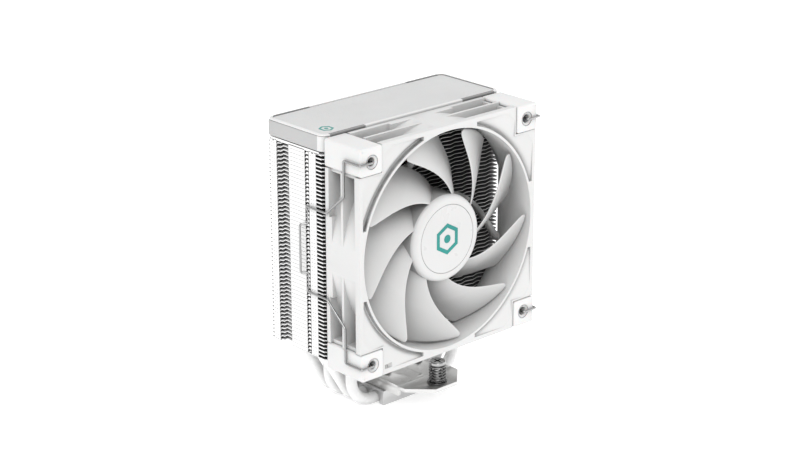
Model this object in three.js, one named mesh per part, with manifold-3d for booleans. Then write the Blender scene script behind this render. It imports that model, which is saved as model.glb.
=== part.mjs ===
// A single-tower processor cooler with one 120 mm fan, built as separate pieces.
// Millimetres, +Z up. The origin is the middle of the face that rests on the processor,
// the fan faces -Y, and the fins lie level.
import * as THREE from 'three';
import { mergeVertices } from 'three/addons/utils/BufferGeometryUtils.js';
import Module from 'manifold-3d';

const wasm = await Module();
wasm.setup();

// Driving dimensions.
const GAP = 0.3; // clearance kept between pieces that touch
const TOP_Z = 155; // top face of the cover

const FAN_SIZE = 120;
const FAN_DEPTH = 25;
const FAN_FRONT_Y = -48;
const FAN_CENTRE_Z = 94;
const HOLE_SPACING = 105;
const HOLE_RADIUS = 2.3;
const DUCT_RADIUS = 58.4;
const DUCT_WALL = 1.5;
const FLANGE = 3.5; // front flange of the fan frame
const REAR_FLANGE = 2.5;
const MID_RIB = [12, 13.6];
const PAD_SIZE = 14.2;
const PAD_WALL = 1.5;
const PAD_PROUD = 0.8; // how far a pad stands out in front of the frame
const PAD_REAR = 0.5; // and behind it

const HUB_RADIUS = 22.7;
const HUB_WALL = 1.4;
const HUB_ROOF = 2.9;
const HUB_FRONT = 2;
const HUB_REAR = 19.2;
const HUB_ROUND = 3.2;
const HUB_SOCKET = { outer: 4, inner: 1.9, depth: 5.2 }; // holds the shaft
const LABEL = { radius: 17.8, recess: 0.5, thickness: 0.2 };
const BLADE_COUNT = 9;
const BLADE_ROOT = 0.8; // how far a blade reaches into the hub's wall
const BLADE_TIP_RADIUS = 56.3;
const SHAFT_RADIUS = 1.5;

const MOUNT_RADIUS = 22.5; // motor mount at the back of the fan
const MOUNT_SPAN = [21.5, 24.3];
const BOSS_RADIUS = 5.2;
const BOSS_BORE = 4.4;
const BOSS_FRONT = 8.2;
const STRUT_COUNT = 4;
const STRUT_WIDTH = 4.5;
const STRUT_FRONT = 20.6;

const FIN_HALF_X = 58.4;
const FIN_HALF_Y = 21.5;
const FIN_THICKNESS = 0.9;
const FIN_COUNT = 24;
const FINS_BOTTOM = 37.5;
const FINS_TOP = 145.9;
const SIDE_X = 60; // outer face of the folded side bands
const SIDE_BANDS = [[-15.9, -10.9], [-7.6, 4.5], [14.1, 18.8]];

const COVER = { front: -22.2, rear: 22, bottom: 146.2, wall: 2.6, roof: 2.6, round: 4.5 };
const TRIM = { width: 1.5, depth: 1.4, reach: 27 };

const PIPE_RADIUS = 3;
const PIPE_SIDES = 8;
const PIPE_TOP = 150;
const PIPE_PITCH = 8.7;
const PIPE_HOLE = 3.4; // half the width of a pipe's hole in the fins
const NARROW_PIPE = { legX: 36, corners: [[-36, 3]], bend: 14, arcSteps: 5 };
const WIDE_PIPE = { legX: 44.5, corners: [[-44.5, 28.8], [-28.7, 3]], bend: 12, arcSteps: 3 };

const BASE_HALF = 20;
const BASE_HEIGHT = 8.1;
const CAP_HALF_X = 15.5;
const CAP_HALF_Y = 17;
const BAR_TOP = 14;
const BAR_THICKNESS = 2;
const BAR_HALF_LENGTH = 46;
const BAR_HALF_WIDTH = 18.7;
const BAR_END_HALF_WIDTH = 7.5;
const BAR_LIP = { halfLength: 29.4, height: 5.6 };
const FIXING = { x: 11, y: 12.5, headRadius: 2.3, headHeight: 1.6, shankRadius: 1.2, tip: 9.9 };

const SCREW_Y = 39.2;
const SCREW_HEAD = { radius: 4.25, bottom: 9.5, top: 12 };
const SCREW_SHANK_RADIUS = 2;
const SCREW_TIP = -4.8;
const SCREW_NECK = { radius: 1.5, span: [-3.4, -2.4] };
const RETAINER = { inner: 1.8, outer: 3.6, span: [-3.1, -2.6] };
const SEAT_WASHER = { inner: 2.5, outer: 5.2, span: [0.3, 0.7] };
const THRUST_WASHER = { inner: 2.5, outer: 4.4, span: [8.9, 9.2] };
const SPRING = { radius: 4.1, wire: 0.45, bottom: 1.35, top: 8.35, turns: 4.75 };

// Wire clip, in the fan's frame: the upper half of its route, from the fan's hole, past the fan's
// side, to the groove in the fins' sides, and out to the middle of the handle.
const CLIP_WIRE = 0.6; // wire radius
const CLIP_BEND = 1;
const CLIP_ROUTE = [
  [52.5, 1.6, 52.5], [52.5, -1.8, 52.5], [61, -1.8, 52.5], [61, 10.2, 52.5], [61, 10.2, 34],
  [61, 23.5, 22.5], [61, 38.75, 22.5], [59.75, 38.75, 19.5], [59.75, 38.75, 13], [62.9, 41.4, 12.6],
];

// Materials.
function material(color, roughness, metalness = 0) {
  return new THREE.MeshStandardMaterial({ color, roughness, metalness });
}
const whitePlastic = material(0xe9eae8, 0.42);
const bladePlastic = material(0xdcdedd, 0.38);
const whiteRubber = material(0xf0f0ee, 0.75);
const greyTrim = material(0x9fa3a4, 0.45);
const finPaint = material(0xf1f2f1, 0.4, 0.1);
const nickel = material(0xc9ccca, 0.22, 1);
const aluminium = material(0xbfc2c3, 0.35, 1);
const darkNickel = material(0x55585a, 0.25, 1);
const steel = material(0x8f9396, 0.35, 1);
const coldSteel = material(0xa6aaab, 0.3, 1);
const magnetBlack = material(0x2c2d2f, 0.7);
const copper = material(0xb66a3c, 0.4, 1);
const brass = material(0xb99a55, 0.35, 1);
const boardGreen = material(0x1f5a3a, 0.6);
const labelGrey = material(0xc4c7c8, 0.5);

// ---- Solids -------------------------------------------------------------------------------

// A closed geometry as a solid that can be joined and cut.
function solid(geometry) {
  const bare = geometry.clone();
  bare.deleteAttribute('normal');
  bare.deleteAttribute('uv');
  const merged = mergeVertices(bare, 1e-4);
  return new wasm.Manifold(new wasm.Mesh({
    numProp: 3,
    vertProperties: merged.getAttribute('position').array,
    triVerts: new Uint32Array(merged.index.array),
  }));
}

function geometryOf(joined) {
  const { vertProperties, triVerts } = joined.getMesh();
  const geometry = new THREE.BufferGeometry();
  geometry.setAttribute('position', new THREE.BufferAttribute(vertProperties, 3));
  geometry.setIndex(new THREE.BufferAttribute(triVerts, 1));
  geometry.computeVertexNormals();
  return geometry;
}

function join(pieces) {
  return pieces.reduce((whole, piece) => whole.add(piece));
}

function cut(from, pieces) {
  return pieces.reduce((rest, piece) => rest.subtract(piece), from);
}

function box([x0, x1], [y0, y1], [z0, z1]) {
  const geometry = new THREE.BoxGeometry(x1 - x0, y1 - y0, z1 - z0);
  geometry.translate((x0 + x1) / 2, (y0 + y1) / 2, (z0 + z1) / 2);
  return solid(geometry);
}

function cylinderY(radius, [y0, y1], sides, x = 0, z = 0) {
  const geometry = new THREE.CylinderGeometry(radius, radius, y1 - y0, sides);
  geometry.rotateY(Math.PI / sides);
  geometry.translate(x, (y0 + y1) / 2, z);
  return solid(geometry);
}

function cylinderZ(radius, [z0, z1], sides, x = 0, y = 0) {
  const geometry = new THREE.CylinderGeometry(radius, radius, z1 - z0, sides);
  geometry.rotateX(Math.PI / 2);
  geometry.translate(x, y, (z0 + z1) / 2);
  return solid(geometry);
}

// A profile of [radius, y] points, counterclockwise, turned about the Y axis.
function turnedY(profile, sides) {
  const points = profile.map(([r, y]) => new THREE.Vector2(r, y));
  const onAxis = profile[0][0] === 0;
  if (!onAxis) points.push(points[0].clone());
  return solid(new THREE.LatheGeometry(points, sides));
}

function ringY(inner, outer, [y0, y1], sides) {
  return turnedY([[inner, y0], [outer, y0], [outer, y1], [inner, y1]], sides);
}

function ringZ(inner, outer, [z0, z1], sides) {
  return solid(geometryOf(ringY(inner, outer, [z0, z1], sides)).rotateX(Math.PI / 2));
}

// An outline in X and Y, drawn up from z0 to z1.
function prismZ(shape, [z0, z1], curveSegments = 4) {
  const geometry = new THREE.ExtrudeGeometry(shape, {
    depth: z1 - z0, bevelEnabled: false, curveSegments,
  });
  geometry.translate(0, 0, z0);
  return solid(geometry);
}

// An outline in Y and Z, drawn along X from x0 to x1.
function prismX(shape, [x0, x1], curveSegments = 4) {
  const geometry = new THREE.ExtrudeGeometry(shape, {
    depth: x1 - x0, bevelEnabled: false, curveSegments,
  });
  const toYZ = new THREE.Matrix4().makeBasis(
    new THREE.Vector3(0, 1, 0), new THREE.Vector3(0, 0, 1), new THREE.Vector3(1, 0, 0),
  );
  geometry.applyMatrix4(toYZ);
  geometry.translate(x0, 0, 0);
  return solid(geometry);
}

function outline(points) {
  return new THREE.Shape(points.map(([a, b]) => new THREE.Vector2(a, b)));
}

function roundedRectangle(x0, x1, y0, y1, r) {
  const shape = new THREE.Shape();
  shape.moveTo(x0 + r, y0);
  shape.lineTo(x1 - r, y0);
  shape.absarc(x1 - r, y0 + r, r, -Math.PI / 2, 0, false);
  shape.lineTo(x1, y1 - r);
  shape.absarc(x1 - r, y1 - r, r, 0, Math.PI / 2, false);
  shape.lineTo(x0 + r, y1);
  shape.absarc(x0 + r, y1 - r, r, Math.PI / 2, Math.PI, false);
  shape.lineTo(x0, y0 + r);
  shape.absarc(x0 + r, y0 + r, r, Math.PI, 1.5 * Math.PI, false);
  return shape;
}

function polygonShape(radius, sides) {
  const points = [];
  for (let i = 0; i < sides; i += 1) {
    const a = ((i + 0.5) * 2 * Math.PI) / sides;
    points.push([radius * Math.cos(a), radius * Math.sin(a)]);
  }
  return outline(points);
}

// A bent wire or pipe: straight runs between points, each corner rounded to an arc.
class BentRoute extends THREE.Curve {
  constructor(points, bendRadius, arcSteps) {
    super();
    const corners = points.map((p) => new THREE.Vector3(...p));
    const last = corners.length - 1;
    this.knots = [];
    const put = (point, tangent) => this.knots.push({ point, tangent });
    corners.forEach((corner, i) => {
      const into = corner.clone().sub(corners[Math.max(i - 1, 0)]).normalize();
      const out = corners[Math.min(i + 1, last)].clone().sub(corner).normalize();
      if (i === 0) put(corner, out);
      else if (i === last) put(corner, into);
      else this.addBend(corner, into, out, bendRadius, arcSteps, put);
    });
  }

  addBend(corner, into, out, bendRadius, arcSteps, put) {
    const turn = into.angleTo(out);
    const back = bendRadius * Math.tan(turn / 2);
    const axis = into.clone().cross(out).normalize();
    const toCentre = axis.clone().cross(into);
    const start = corner.clone().addScaledVector(into, -back);
    const centre = start.clone().addScaledVector(toCentre, bendRadius);
    for (let k = 0; k <= arcSteps; k += 1) {
      const angle = (turn * k) / arcSteps;
      const spoke = start.clone().sub(centre).applyAxisAngle(axis, angle);
      put(centre.clone().add(spoke), into.clone().applyAxisAngle(axis, angle));
    }
  }

  get steps() {
    return this.knots.length - 1;
  }

  at(u) {
    return this.knots[Math.round(u * this.steps)];
  }

  getPointAt(u) {
    return this.at(u).point.clone();
  }

  getTangentAt(u) {
    return this.at(u).tangent.clone();
  }
}

function bentTube(points, tubeRadius, bendRadius, sides, arcSteps) {
  const route = new BentRoute(points, bendRadius, arcSteps);
  return solid(new THREE.ExtrudeGeometry(polygonShape(tubeRadius, sides), {
    steps: route.steps, extrudePath: route, bevelEnabled: false,
  }));
}

class Helix extends THREE.Curve {
  getPoint(t, target = new THREE.Vector3()) {
    const angle = 2 * Math.PI * SPRING.turns * t;
    const low = SPRING.bottom;
    return target.set(
      SPRING.radius * Math.cos(angle),
      SPRING.radius * Math.sin(angle),
      low + (SPRING.top - low) * t,
    );
  }
}

// A thin curved sheet: a box grid with u along the chord, v outward and w through the wall.
function mappedSheet(uSteps, vSteps, place) {
  const geometry = new THREE.BoxGeometry(1, 1, 1, uSteps, vSteps, 1);
  const position = geometry.getAttribute('position');
  for (let i = 0; i < position.count; i += 1) {
    const u = position.getX(i) + 0.5;
    const v = position.getY(i) + 0.5;
    position.setXYZ(i, ...place(u, v, position.getZ(i)));
  }
  return solid(geometry);
}

// ---- The scene graph ------------------------------------------------------------------------

const cooler = new THREE.Group();
const fan = new THREE.Group(); // origin at the centre of the fan's front face
fan.position.set(0, FAN_FRONT_Y, FAN_CENTRE_Z);
cooler.add(fan);

function addMesh(group, name, piece, look) {
  const mesh = new THREE.Mesh(geometryOf(piece), look);
  mesh.name = name;
  group.add(mesh);
  return mesh;
}

// ---- Base, pipes and fins -------------------------------------------------------------------

const PIPES = [-1.5, -0.5, 0.5, 1.5].map((step, i) => ({
  y: step * PIPE_PITCH,
  form: i % 2 === 0 ? NARROW_PIPE : WIDE_PIPE,
}));

// The lower block: one arched groove for each pipe, open at the bottom.
function baseBlock() {
  const shape = new THREE.Shape();
  const groove = PIPE_RADIUS + GAP;
  shape.moveTo(-BASE_HALF, BASE_HEIGHT);
  shape.lineTo(-BASE_HALF, 0);
  PIPES.forEach(({ y }) => {
    shape.lineTo(y - groove, 0);
    shape.lineTo(y - groove, PIPE_RADIUS);
    shape.absarc(y, PIPE_RADIUS, groove, Math.PI, 0, true);
    shape.lineTo(y + groove, 0);
  });
  shape.lineTo(BASE_HALF, 0);
  shape.lineTo(BASE_HALF, BASE_HEIGHT);
  return prismX(shape, [-BASE_HALF, BASE_HALF], 8);
}

function fixingPlaces() {
  const { x, y } = FIXING;
  return [[-x, -y], [x, -y], [x, y], [-x, y]];
}

function baseCap() {
  const top = BAR_TOP - BAR_THICKNESS - GAP;
  const block = box([-CAP_HALF_X, CAP_HALF_X], [-CAP_HALF_Y, CAP_HALF_Y], [BASE_HEIGHT + GAP, top]);
  const bores = fixingPlaces().map(([x, y]) => (
    cylinderZ(FIXING.shankRadius + GAP, [FIXING.tip - 0.5, BAR_TOP], 8, x, y)
  ));
  return cut(block, bores);
}

// The sheet-metal bar: tapered ears for the spring screws and a turned-down lip on each side.
function crossbar() {
  const taper = BAR_HALF_WIDTH - BAR_END_HALF_WIDTH;
  const shoulder = BAR_HALF_LENGTH - taper;
  const plate = outline([
    [-BAR_END_HALF_WIDTH, -BAR_HALF_LENGTH], [BAR_END_HALF_WIDTH, -BAR_HALF_LENGTH],
    [BAR_HALF_WIDTH, -shoulder], [BAR_HALF_WIDTH, shoulder],
    [BAR_END_HALF_WIDTH, BAR_HALF_LENGTH], [-BAR_END_HALF_WIDTH, BAR_HALF_LENGTH],
    [-BAR_HALF_WIDTH, shoulder], [-BAR_HALF_WIDTH, -shoulder],
  ]);
  const bar = prismZ(plate, [BAR_TOP - BAR_THICKNESS, BAR_TOP]);
  const lips = [-1, 1].map((side) => {
    const xs = [side * BAR_HALF_WIDTH, side * (BAR_HALF_WIDTH - BAR_THICKNESS)].sort((a, b) => a - b);
    return box(xs, [-BAR_LIP.halfLength, BAR_LIP.halfLength], [BAR_TOP - BAR_LIP.height, BAR_TOP - 1]);
  });
  const through = [BAR_TOP - BAR_THICKNESS - 1, BAR_TOP + 1];
  const screwHoles = [-1, 1].map((side) => (
    cylinderZ(SCREW_SHANK_RADIUS + 0.4, through, 16, 0, side * SCREW_Y)
  ));
  const fixingHoles = fixingPlaces().map(([x, y]) => (
    cylinderZ(FIXING.shankRadius + GAP, through, 8, x, y)
  ));
  return cut(join([bar, ...lips]), [...screwHoles, ...fixingHoles]);
}

// Two crossed slots for a screwdriver, cut down to a depth below the head's top.
function crossSlots(halfLength, halfWidth, top, depth) {
  const zSpan = [top - depth, top + 1];
  return [
    box([-halfLength, halfLength], [-halfWidth, halfWidth], zSpan),
    box([-halfWidth, halfWidth], [-halfLength, halfLength], zSpan),
  ];
}

function fixingScrew() {
  const top = BAR_TOP + FIXING.headHeight;
  const shank = cylinderZ(FIXING.shankRadius, [FIXING.tip, BAR_TOP + 1], 8);
  const head = cylinderZ(FIXING.headRadius, [BAR_TOP + GAP, top], 12);
  return cut(join([shank, head]), crossSlots(1.3, 0.3, top, 0.6));
}

// A U-shaped pipe in a plane of constant y. Its section has a flat underneath, level with z = 0.
function heatPipe({ legX, corners, bend, arcSteps }) {
  const left = corners.map(([x, z]) => [x, 0, z]);
  const right = corners.map(([x, z]) => [-x, 0, z]).reverse();
  const route = [[-legX, 0, PIPE_TOP], ...left, ...right, [legX, 0, PIPE_TOP]];
  const cornerRadius = PIPE_RADIUS / Math.cos(Math.PI / PIPE_SIDES);
  return bentTube(route, cornerRadius, bend, PIPE_SIDES, arcSteps);
}

// Level fins joined along both sides by the bands that their edges are folded into.
function finStack() {
  const sheet = outline([
    [-FIN_HALF_X, -FIN_HALF_Y], [FIN_HALF_X, -FIN_HALF_Y],
    [FIN_HALF_X, FIN_HALF_Y], [-FIN_HALF_X, FIN_HALF_Y],
  ]);
  const reach = PIPE_HOLE * Math.SQRT2; // each pipe passes a square hole set on its corner
  PIPES.forEach(({ y, form }) => [-form.legX, form.legX].forEach((x) => {
    const corners = [[x + reach, y], [x, y + reach], [x - reach, y], [x, y - reach]];
    sheet.holes.push(new THREE.Path(corners.map(([a, b]) => new THREE.Vector2(a, b))));
  }));
  const fin = prismZ(sheet, [0, FIN_THICKNESS]);
  const pitch = (FINS_TOP - FIN_THICKNESS - FINS_BOTTOM) / (FIN_COUNT - 1);
  const fins = Array.from({ length: FIN_COUNT }, (_, i) => fin.translate([0, 0, FINS_BOTTOM + i * pitch]));
  const bands = SIDE_BANDS.flatMap((span) => [
    box([-SIDE_X, -FIN_HALF_X], span, [FINS_BOTTOM, FINS_TOP]),
    box([FIN_HALF_X, SIDE_X], span, [FINS_BOTTOM, FINS_TOP]),
  ]);
  return join([...bands, ...fins]);
}

// ---- Cover ------------------------------------------------------------------------------------

function coverOutline(inset) {
  return roundedRectangle(
    -SIDE_X + inset, SIDE_X - inset, COVER.front + inset, COVER.rear - inset, COVER.round - inset,
  );
}

// The strip that runs round one end of the cover and a little way along its long edges.
function trimStrip(inset, span, endX, side) {
  const ring = prismZ(coverOutline(0), span).subtract(prismZ(coverOutline(inset), [span[0] - 1, span[1] + 1]));
  const xs = side < 0 ? [-SIDE_X - 1, -endX] : [endX, SIDE_X + 1];
  return ring.intersect(box(xs, [COVER.front - 1, COVER.rear + 1], [span[0] - 1, span[1] + 1]));
}

function topCover() {
  const shell = prismZ(coverOutline(0), [COVER.bottom, TOP_Z]);
  const hollow = prismZ(coverOutline(COVER.wall), [COVER.bottom - 1, TOP_Z - COVER.roof]);
  const seat = [TOP_Z - TRIM.depth - GAP, TOP_Z + 1];
  const seats = [-1, 1].map((side) => (
    trimStrip(TRIM.width + GAP, seat, SIDE_X - TRIM.reach - GAP, side)
  ));
  return cut(shell, [hollow, ...seats]);
}

function coverTrim(side) {
  return trimStrip(TRIM.width, [TOP_Z - TRIM.depth, TOP_Z], SIDE_X - TRIM.reach, side);
}

// ---- Fan: frame and pads ------------------------------------------------------------------------

const CORNERS = [[-1, 1], [1, 1], [1, -1], [-1, -1]];
const HALF = FAN_SIZE / 2;
const PAD_INNER = HALF - PAD_SIZE;
const POST_OUTER = HALF - PAD_WALL - GAP;
const POST_SPAN = [PAD_WALL - PAD_PROUD + GAP, FAN_DEPTH + PAD_REAR - PAD_WALL - GAP];

function sideSpan(side, inner, outer) {
  return side < 0 ? [-outer, -inner] : [inner, outer];
}

function cornerBlock([sx, sz], inner, outer, ySpan) {
  return box(sideSpan(sx, inner, outer), ySpan, sideSpan(sz, inner, outer));
}

function cornerHole([sx, sz]) {
  return cylinderY(HOLE_RADIUS, [-2, FAN_DEPTH + 2], 12, (sx * HOLE_SPACING) / 2, (sz * HOLE_SPACING) / 2);
}

// Turn of a strut, in radians from +X towards +Z, at share s of the way out to the duct.
function strutTurn(s) {
  return THREE.MathUtils.degToRad(-17.5 + 62 * (1 - s) ** 1.5);
}

function strut(index) {
  const inner = MOUNT_RADIUS - 2.5;
  const outer = DUCT_RADIUS + 1;
  const turn = (index * 2 * Math.PI) / STRUT_COUNT;
  return mappedSheet(4, 1, (u, v, w) => {
    const r = inner + (outer - inner) * u;
    const a = strutTurn(u) + turn;
    const across = w * STRUT_WIDTH;
    const y = STRUT_FRONT + v * (FAN_DEPTH - STRUT_FRONT);
    return [r * Math.cos(a) - across * Math.sin(a), y, r * Math.sin(a) + across * Math.cos(a)];
  });
}

function fanFrame() {
  const square = (ySpan) => box([-HALF, HALF], ySpan, [-HALF, HALF]);
  const plates = [[0, FLANGE], MID_RIB, [FAN_DEPTH - REAR_FLANGE, FAN_DEPTH]].map(square);
  const tube = cylinderY(DUCT_RADIUS + DUCT_WALL, [0, FAN_DEPTH], 40);
  const shell = cut(join([tube, ...plates]), CORNERS.map((c) => (
    cornerBlock(c, PAD_INNER - GAP, HALF + 1, [-1, FAN_DEPTH + 1])
  )));
  const posts = CORNERS.map((c) => cornerBlock(c, PAD_INNER - 2, POST_OUTER, POST_SPAN));
  const bore = cylinderY(DUCT_RADIUS, [-1, FAN_DEPTH + 1], 40);
  const holes = CORNERS.map(cornerHole);
  const housing = cut(join([shell, ...posts]), [bore, ...holes]);
  const mount = cylinderY(MOUNT_RADIUS, MOUNT_SPAN, 24);
  const boss = cylinderY(BOSS_RADIUS, [BOSS_FRONT, MOUNT_SPAN[1]], 16);
  const struts = Array.from({ length: STRUT_COUNT }, (_, i) => strut(i));
  const sleeveBore = cylinderY(BOSS_BORE, [BOSS_FRONT - 1, FAN_DEPTH + 1], 16);
  const centre = join([mount, boss]).subtract(sleeveBore);
  const inside = cylinderY(MOUNT_RADIUS - 2, [STRUT_FRONT - 1, FAN_DEPTH + 1], 24);
  const trimmed = join(struts).subtract(inside);
  return join([housing, trimmed, centre]);
}

// A rubber corner cap: it wraps the front, back and two outer sides of the frame's corner post.
function fanPad(corner) {
  const cap = cornerBlock(corner, PAD_INNER, HALF, [-PAD_PROUD, FAN_DEPTH + PAD_REAR]);
  const pocket = cornerBlock(corner, PAD_INNER - 3, POST_OUTER + GAP, [POST_SPAN[0] - GAP, POST_SPAN[1] + GAP]);
  return cut(cap, [pocket, cornerHole(corner)]);
}

// ---- Fan: rotor ---------------------------------------------------------------------------------

// A blade at share u of its chord and v of its length. The leading edge is ahead of the rest.
function bladePoint(u, v, w) {
  const root = HUB_RADIUS - BLADE_ROOT;
  const r = root + (BLADE_TIP_RADIUS - root) * v;
  const lead = 0.8 - 44.3 * (1 - v) ** 1.5;
  const chord = 38 - 4 * v;
  const a = THREE.MathUtils.degToRad(lead - chord * u);
  const frontY = 4.4 - 2.2 * v;
  const rearY = 18.2 - 2.6 * v;
  const thickness = 0.8 + 1.1 * Math.sin(Math.PI * Math.min(u * 1.2, 1));
  const y = frontY + (rearY - frontY) * u ** 1.15 - w * thickness;
  return [r * Math.cos(a), y, r * Math.sin(a)];
}

function impeller() {
  const blade = mappedSheet(4, 4, bladePoint);
  const blades = Array.from({ length: BLADE_COUNT }, (_, i) => (
    blade.rotate([0, (-360 * i) / BLADE_COUNT, 0])
  ));
  const inner = HUB_RADIUS - HUB_WALL;
  const front = HUB_FRONT;
  const roof = front + HUB_ROOF;
  const recess = front + LABEL.recess;
  const recessRadius = LABEL.radius + GAP;
  const shoulder = front + HUB_ROUND;
  const slope = HUB_ROUND * (1 - Math.SQRT1_2);
  const socket = HUB_SOCKET;
  const socketRear = front + socket.depth;
  const hub = turnedY([
    [0, recess], [recessRadius, recess], [recessRadius, front],
    [HUB_RADIUS - HUB_ROUND, front], [HUB_RADIUS - slope, front + slope], [HUB_RADIUS, shoulder],
    [HUB_RADIUS, HUB_REAR], [inner, HUB_REAR], [inner, shoulder + 0.6], [inner - 3.6, roof],
    [socket.outer, roof], [socket.outer, socketRear], [socket.inner, socketRear],
    [socket.inner, roof - 0.4], [0, roof - 0.4],
  ], 24);
  const core = cylinderY(inner - 0.2, [shoulder + 0.8, HUB_REAR + 1], 24);
  return join([hub, ...blades.map((b) => b.subtract(core))]);
}

// ---- Fan: motor ---------------------------------------------------------------------------------

const YOKE = { inner: 20.1, outer: 20.8, span: [9.2, 18.8] };
const MAGNET = { inner: 18.3, outer: 19.6, span: [9.6, 18.2] };
const STATOR = { span: [11, 16.5], shoe: [15.2, 17.4], ring: [5.7, 7.6], armHalf: 1.7, slotHalf: 1.6 };
const COIL = { reach: [8.9, 14.2], half: 3.9, overhang: 1.6 };
const BOARD = { inner: 5.6, outer: 17, span: [19.6, 20.8] };
const SLEEVE = { outer: 4, span: [BOSS_FRONT, 20.8] };
const SHAFT = { neck: 1.1, span: [5, 22.6], groove: [21.1, 22] };
const SHAFT_CLIP = { inner: 1.35, outer: 2.9, span: [21.3, 21.8] };
const MOTOR_LABEL_RADIUS = 19;

function statorCore() {
  const { span: ySpan, shoe, ring, armHalf, slotHalf } = STATOR;
  const quarters = [0, 90, 180, 270];
  const slot = box([-slotHalf, slotHalf], [ySpan[0] - 1, ySpan[1] + 1], [shoe[0] - 1, shoe[1] + 1]);
  const slots = quarters.map((a) => slot.rotate([0, a + 45, 0]));
  const shoes = cut(ringY(shoe[0], shoe[1], ySpan, 24), slots);
  const arms = quarters.map((a) => (
    box([ring[0] + 0.9, shoe[0] + 0.9], ySpan, [-armHalf, armHalf]).rotate([0, a, 0])
  ));
  return join([ringY(ring[0], ring[1], ySpan, 12), ...arms, shoes]);
}

// One winding: a square ring round a stator arm.
function statorCoil() {
  const { span: [y0, y1], armHalf } = STATOR;
  const { reach, half, overhang } = COIL;
  const hole = armHalf + GAP;
  const outer = box(reach, [y0 - overhang, y1 + overhang], [-half, half]);
  return outer.subtract(box([reach[0] - 1, reach[1] + 1], [y0 - GAP, y1 + GAP], [-hole, hole]));
}

function shaft() {
  const { neck, span: [front, rear], groove } = SHAFT;
  return turnedY([
    [0, front], [SHAFT_RADIUS, front], [SHAFT_RADIUS, groove[0]], [neck, groove[0]],
    [neck, groove[1]], [SHAFT_RADIUS, groove[1]], [SHAFT_RADIUS, rear], [0, rear],
  ], 16);
}

// ---- Fan wire clips -----------------------------------------------------------------------------

// One wire from the upper fan hole to the lower one, in the fan's frame. side is -1 or 1.
function fanClip(side) {
  const lower = CLIP_ROUTE.map(([x, y, z]) => [x, y, -z]).reverse();
  const route = [...CLIP_ROUTE, ...lower].map(([x, y, z]) => [side * x, y, z]);
  return bentTube(route, CLIP_WIRE, CLIP_BEND, 5, 1);
}

// ---- Spring screws: local frame at the bar's top face, z = 0 ------------------------------------

function springScrew() {
  const { radius, bottom, top } = SCREW_HEAD;
  const head = turnedY([
    [0, bottom], [radius - 0.3, bottom], [radius, bottom + 0.4], [radius, top - 0.6],
    [radius - 0.6, top], [0, top],
  ], 16);
  const upright = solid(geometryOf(head).rotateX(Math.PI / 2));
  const shank = cylinderZ(SCREW_SHANK_RADIUS, [SCREW_TIP, bottom + 1], 12);
  const neck = ringZ(SCREW_NECK.radius, SCREW_SHANK_RADIUS + 1, SCREW_NECK.span, 12);
  return cut(join([upright, shank]), [neck, ...crossSlots(2.4, 0.5, top, 1.6)]);
}

function coilSpring() {
  return solid(new THREE.ExtrudeGeometry(polygonShape(SPRING.wire, 5), {
    steps: Math.round(SPRING.turns * 6), extrudePath: new Helix(), bevelEnabled: false,
  }));
}

function washer({ inner, outer, span }) {
  return ringZ(inner, outer, span, 12);
}

// ---- Put the pieces in place --------------------------------------------------------------------

addMesh(cooler, 'base_block', baseBlock(), aluminium);
addMesh(cooler, 'base_cap', baseCap(), aluminium);
addMesh(cooler, 'crossbar', crossbar(), nickel);
fixingPlaces().forEach(([x, y], i) => {
  addMesh(cooler, `crossbar_fixing_screw_${i + 1}`, fixingScrew(), steel).position.set(x, y, 0);
});
PIPES.forEach(({ y, form }, i) => {
  addMesh(cooler, `heat_pipe_${i + 1}`, heatPipe(form), nickel).position.y = y;
});
addMesh(cooler, 'fin_stack', finStack(), finPaint);
addMesh(cooler, 'top_cover', topCover(), whitePlastic);
addMesh(cooler, 'cover_trim_left', coverTrim(-1), greyTrim);
addMesh(cooler, 'cover_trim_right', coverTrim(1), greyTrim);

addMesh(fan, 'fan_frame', fanFrame(), whitePlastic);
['top_left', 'top_right', 'bottom_right', 'bottom_left'].forEach((where, i) => {
  addMesh(fan, `fan_pad_${where}`, fanPad(CORNERS[i]), whiteRubber);
});
addMesh(fan, 'impeller', impeller(), bladePlastic);
addMesh(fan, 'hub_label', cylinderY(LABEL.radius, [HUB_FRONT, HUB_FRONT + LABEL.thickness], 24), labelGrey);
addMesh(fan, 'rotor_yoke', ringY(YOKE.inner, YOKE.outer, YOKE.span, 20), coldSteel);
addMesh(fan, 'rotor_magnet', ringY(MAGNET.inner, MAGNET.outer, MAGNET.span, 20), magnetBlack);
addMesh(fan, 'rotor_shaft', shaft(), coldSteel);
addMesh(fan, 'shaft_clip', ringY(SHAFT_CLIP.inner, SHAFT_CLIP.outer, SHAFT_CLIP.span, 12), steel);
addMesh(fan, 'bearing_sleeve', ringY(SHAFT_RADIUS + 0.2, SLEEVE.outer, SLEEVE.span, 16), brass);
addMesh(fan, 'stator_core', statorCore(), steel);
for (let i = 0; i < 4; i += 1) {
  addMesh(fan, `stator_coil_${i + 1}`, statorCoil(), copper).rotation.y = (i * Math.PI) / 2;
}
addMesh(fan, 'motor_board', ringY(BOARD.inner, BOARD.outer, BOARD.span, 24), boardGreen);
const labelSpan = [MOUNT_SPAN[1] + GAP, MOUNT_SPAN[1] + 0.5];
addMesh(fan, 'motor_label', cylinderY(MOTOR_LABEL_RADIUS, labelSpan, 24), labelGrey);
addMesh(fan, 'fan_clip_left', fanClip(-1), coldSteel);
addMesh(fan, 'fan_clip_right', fanClip(1), coldSteel);

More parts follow.
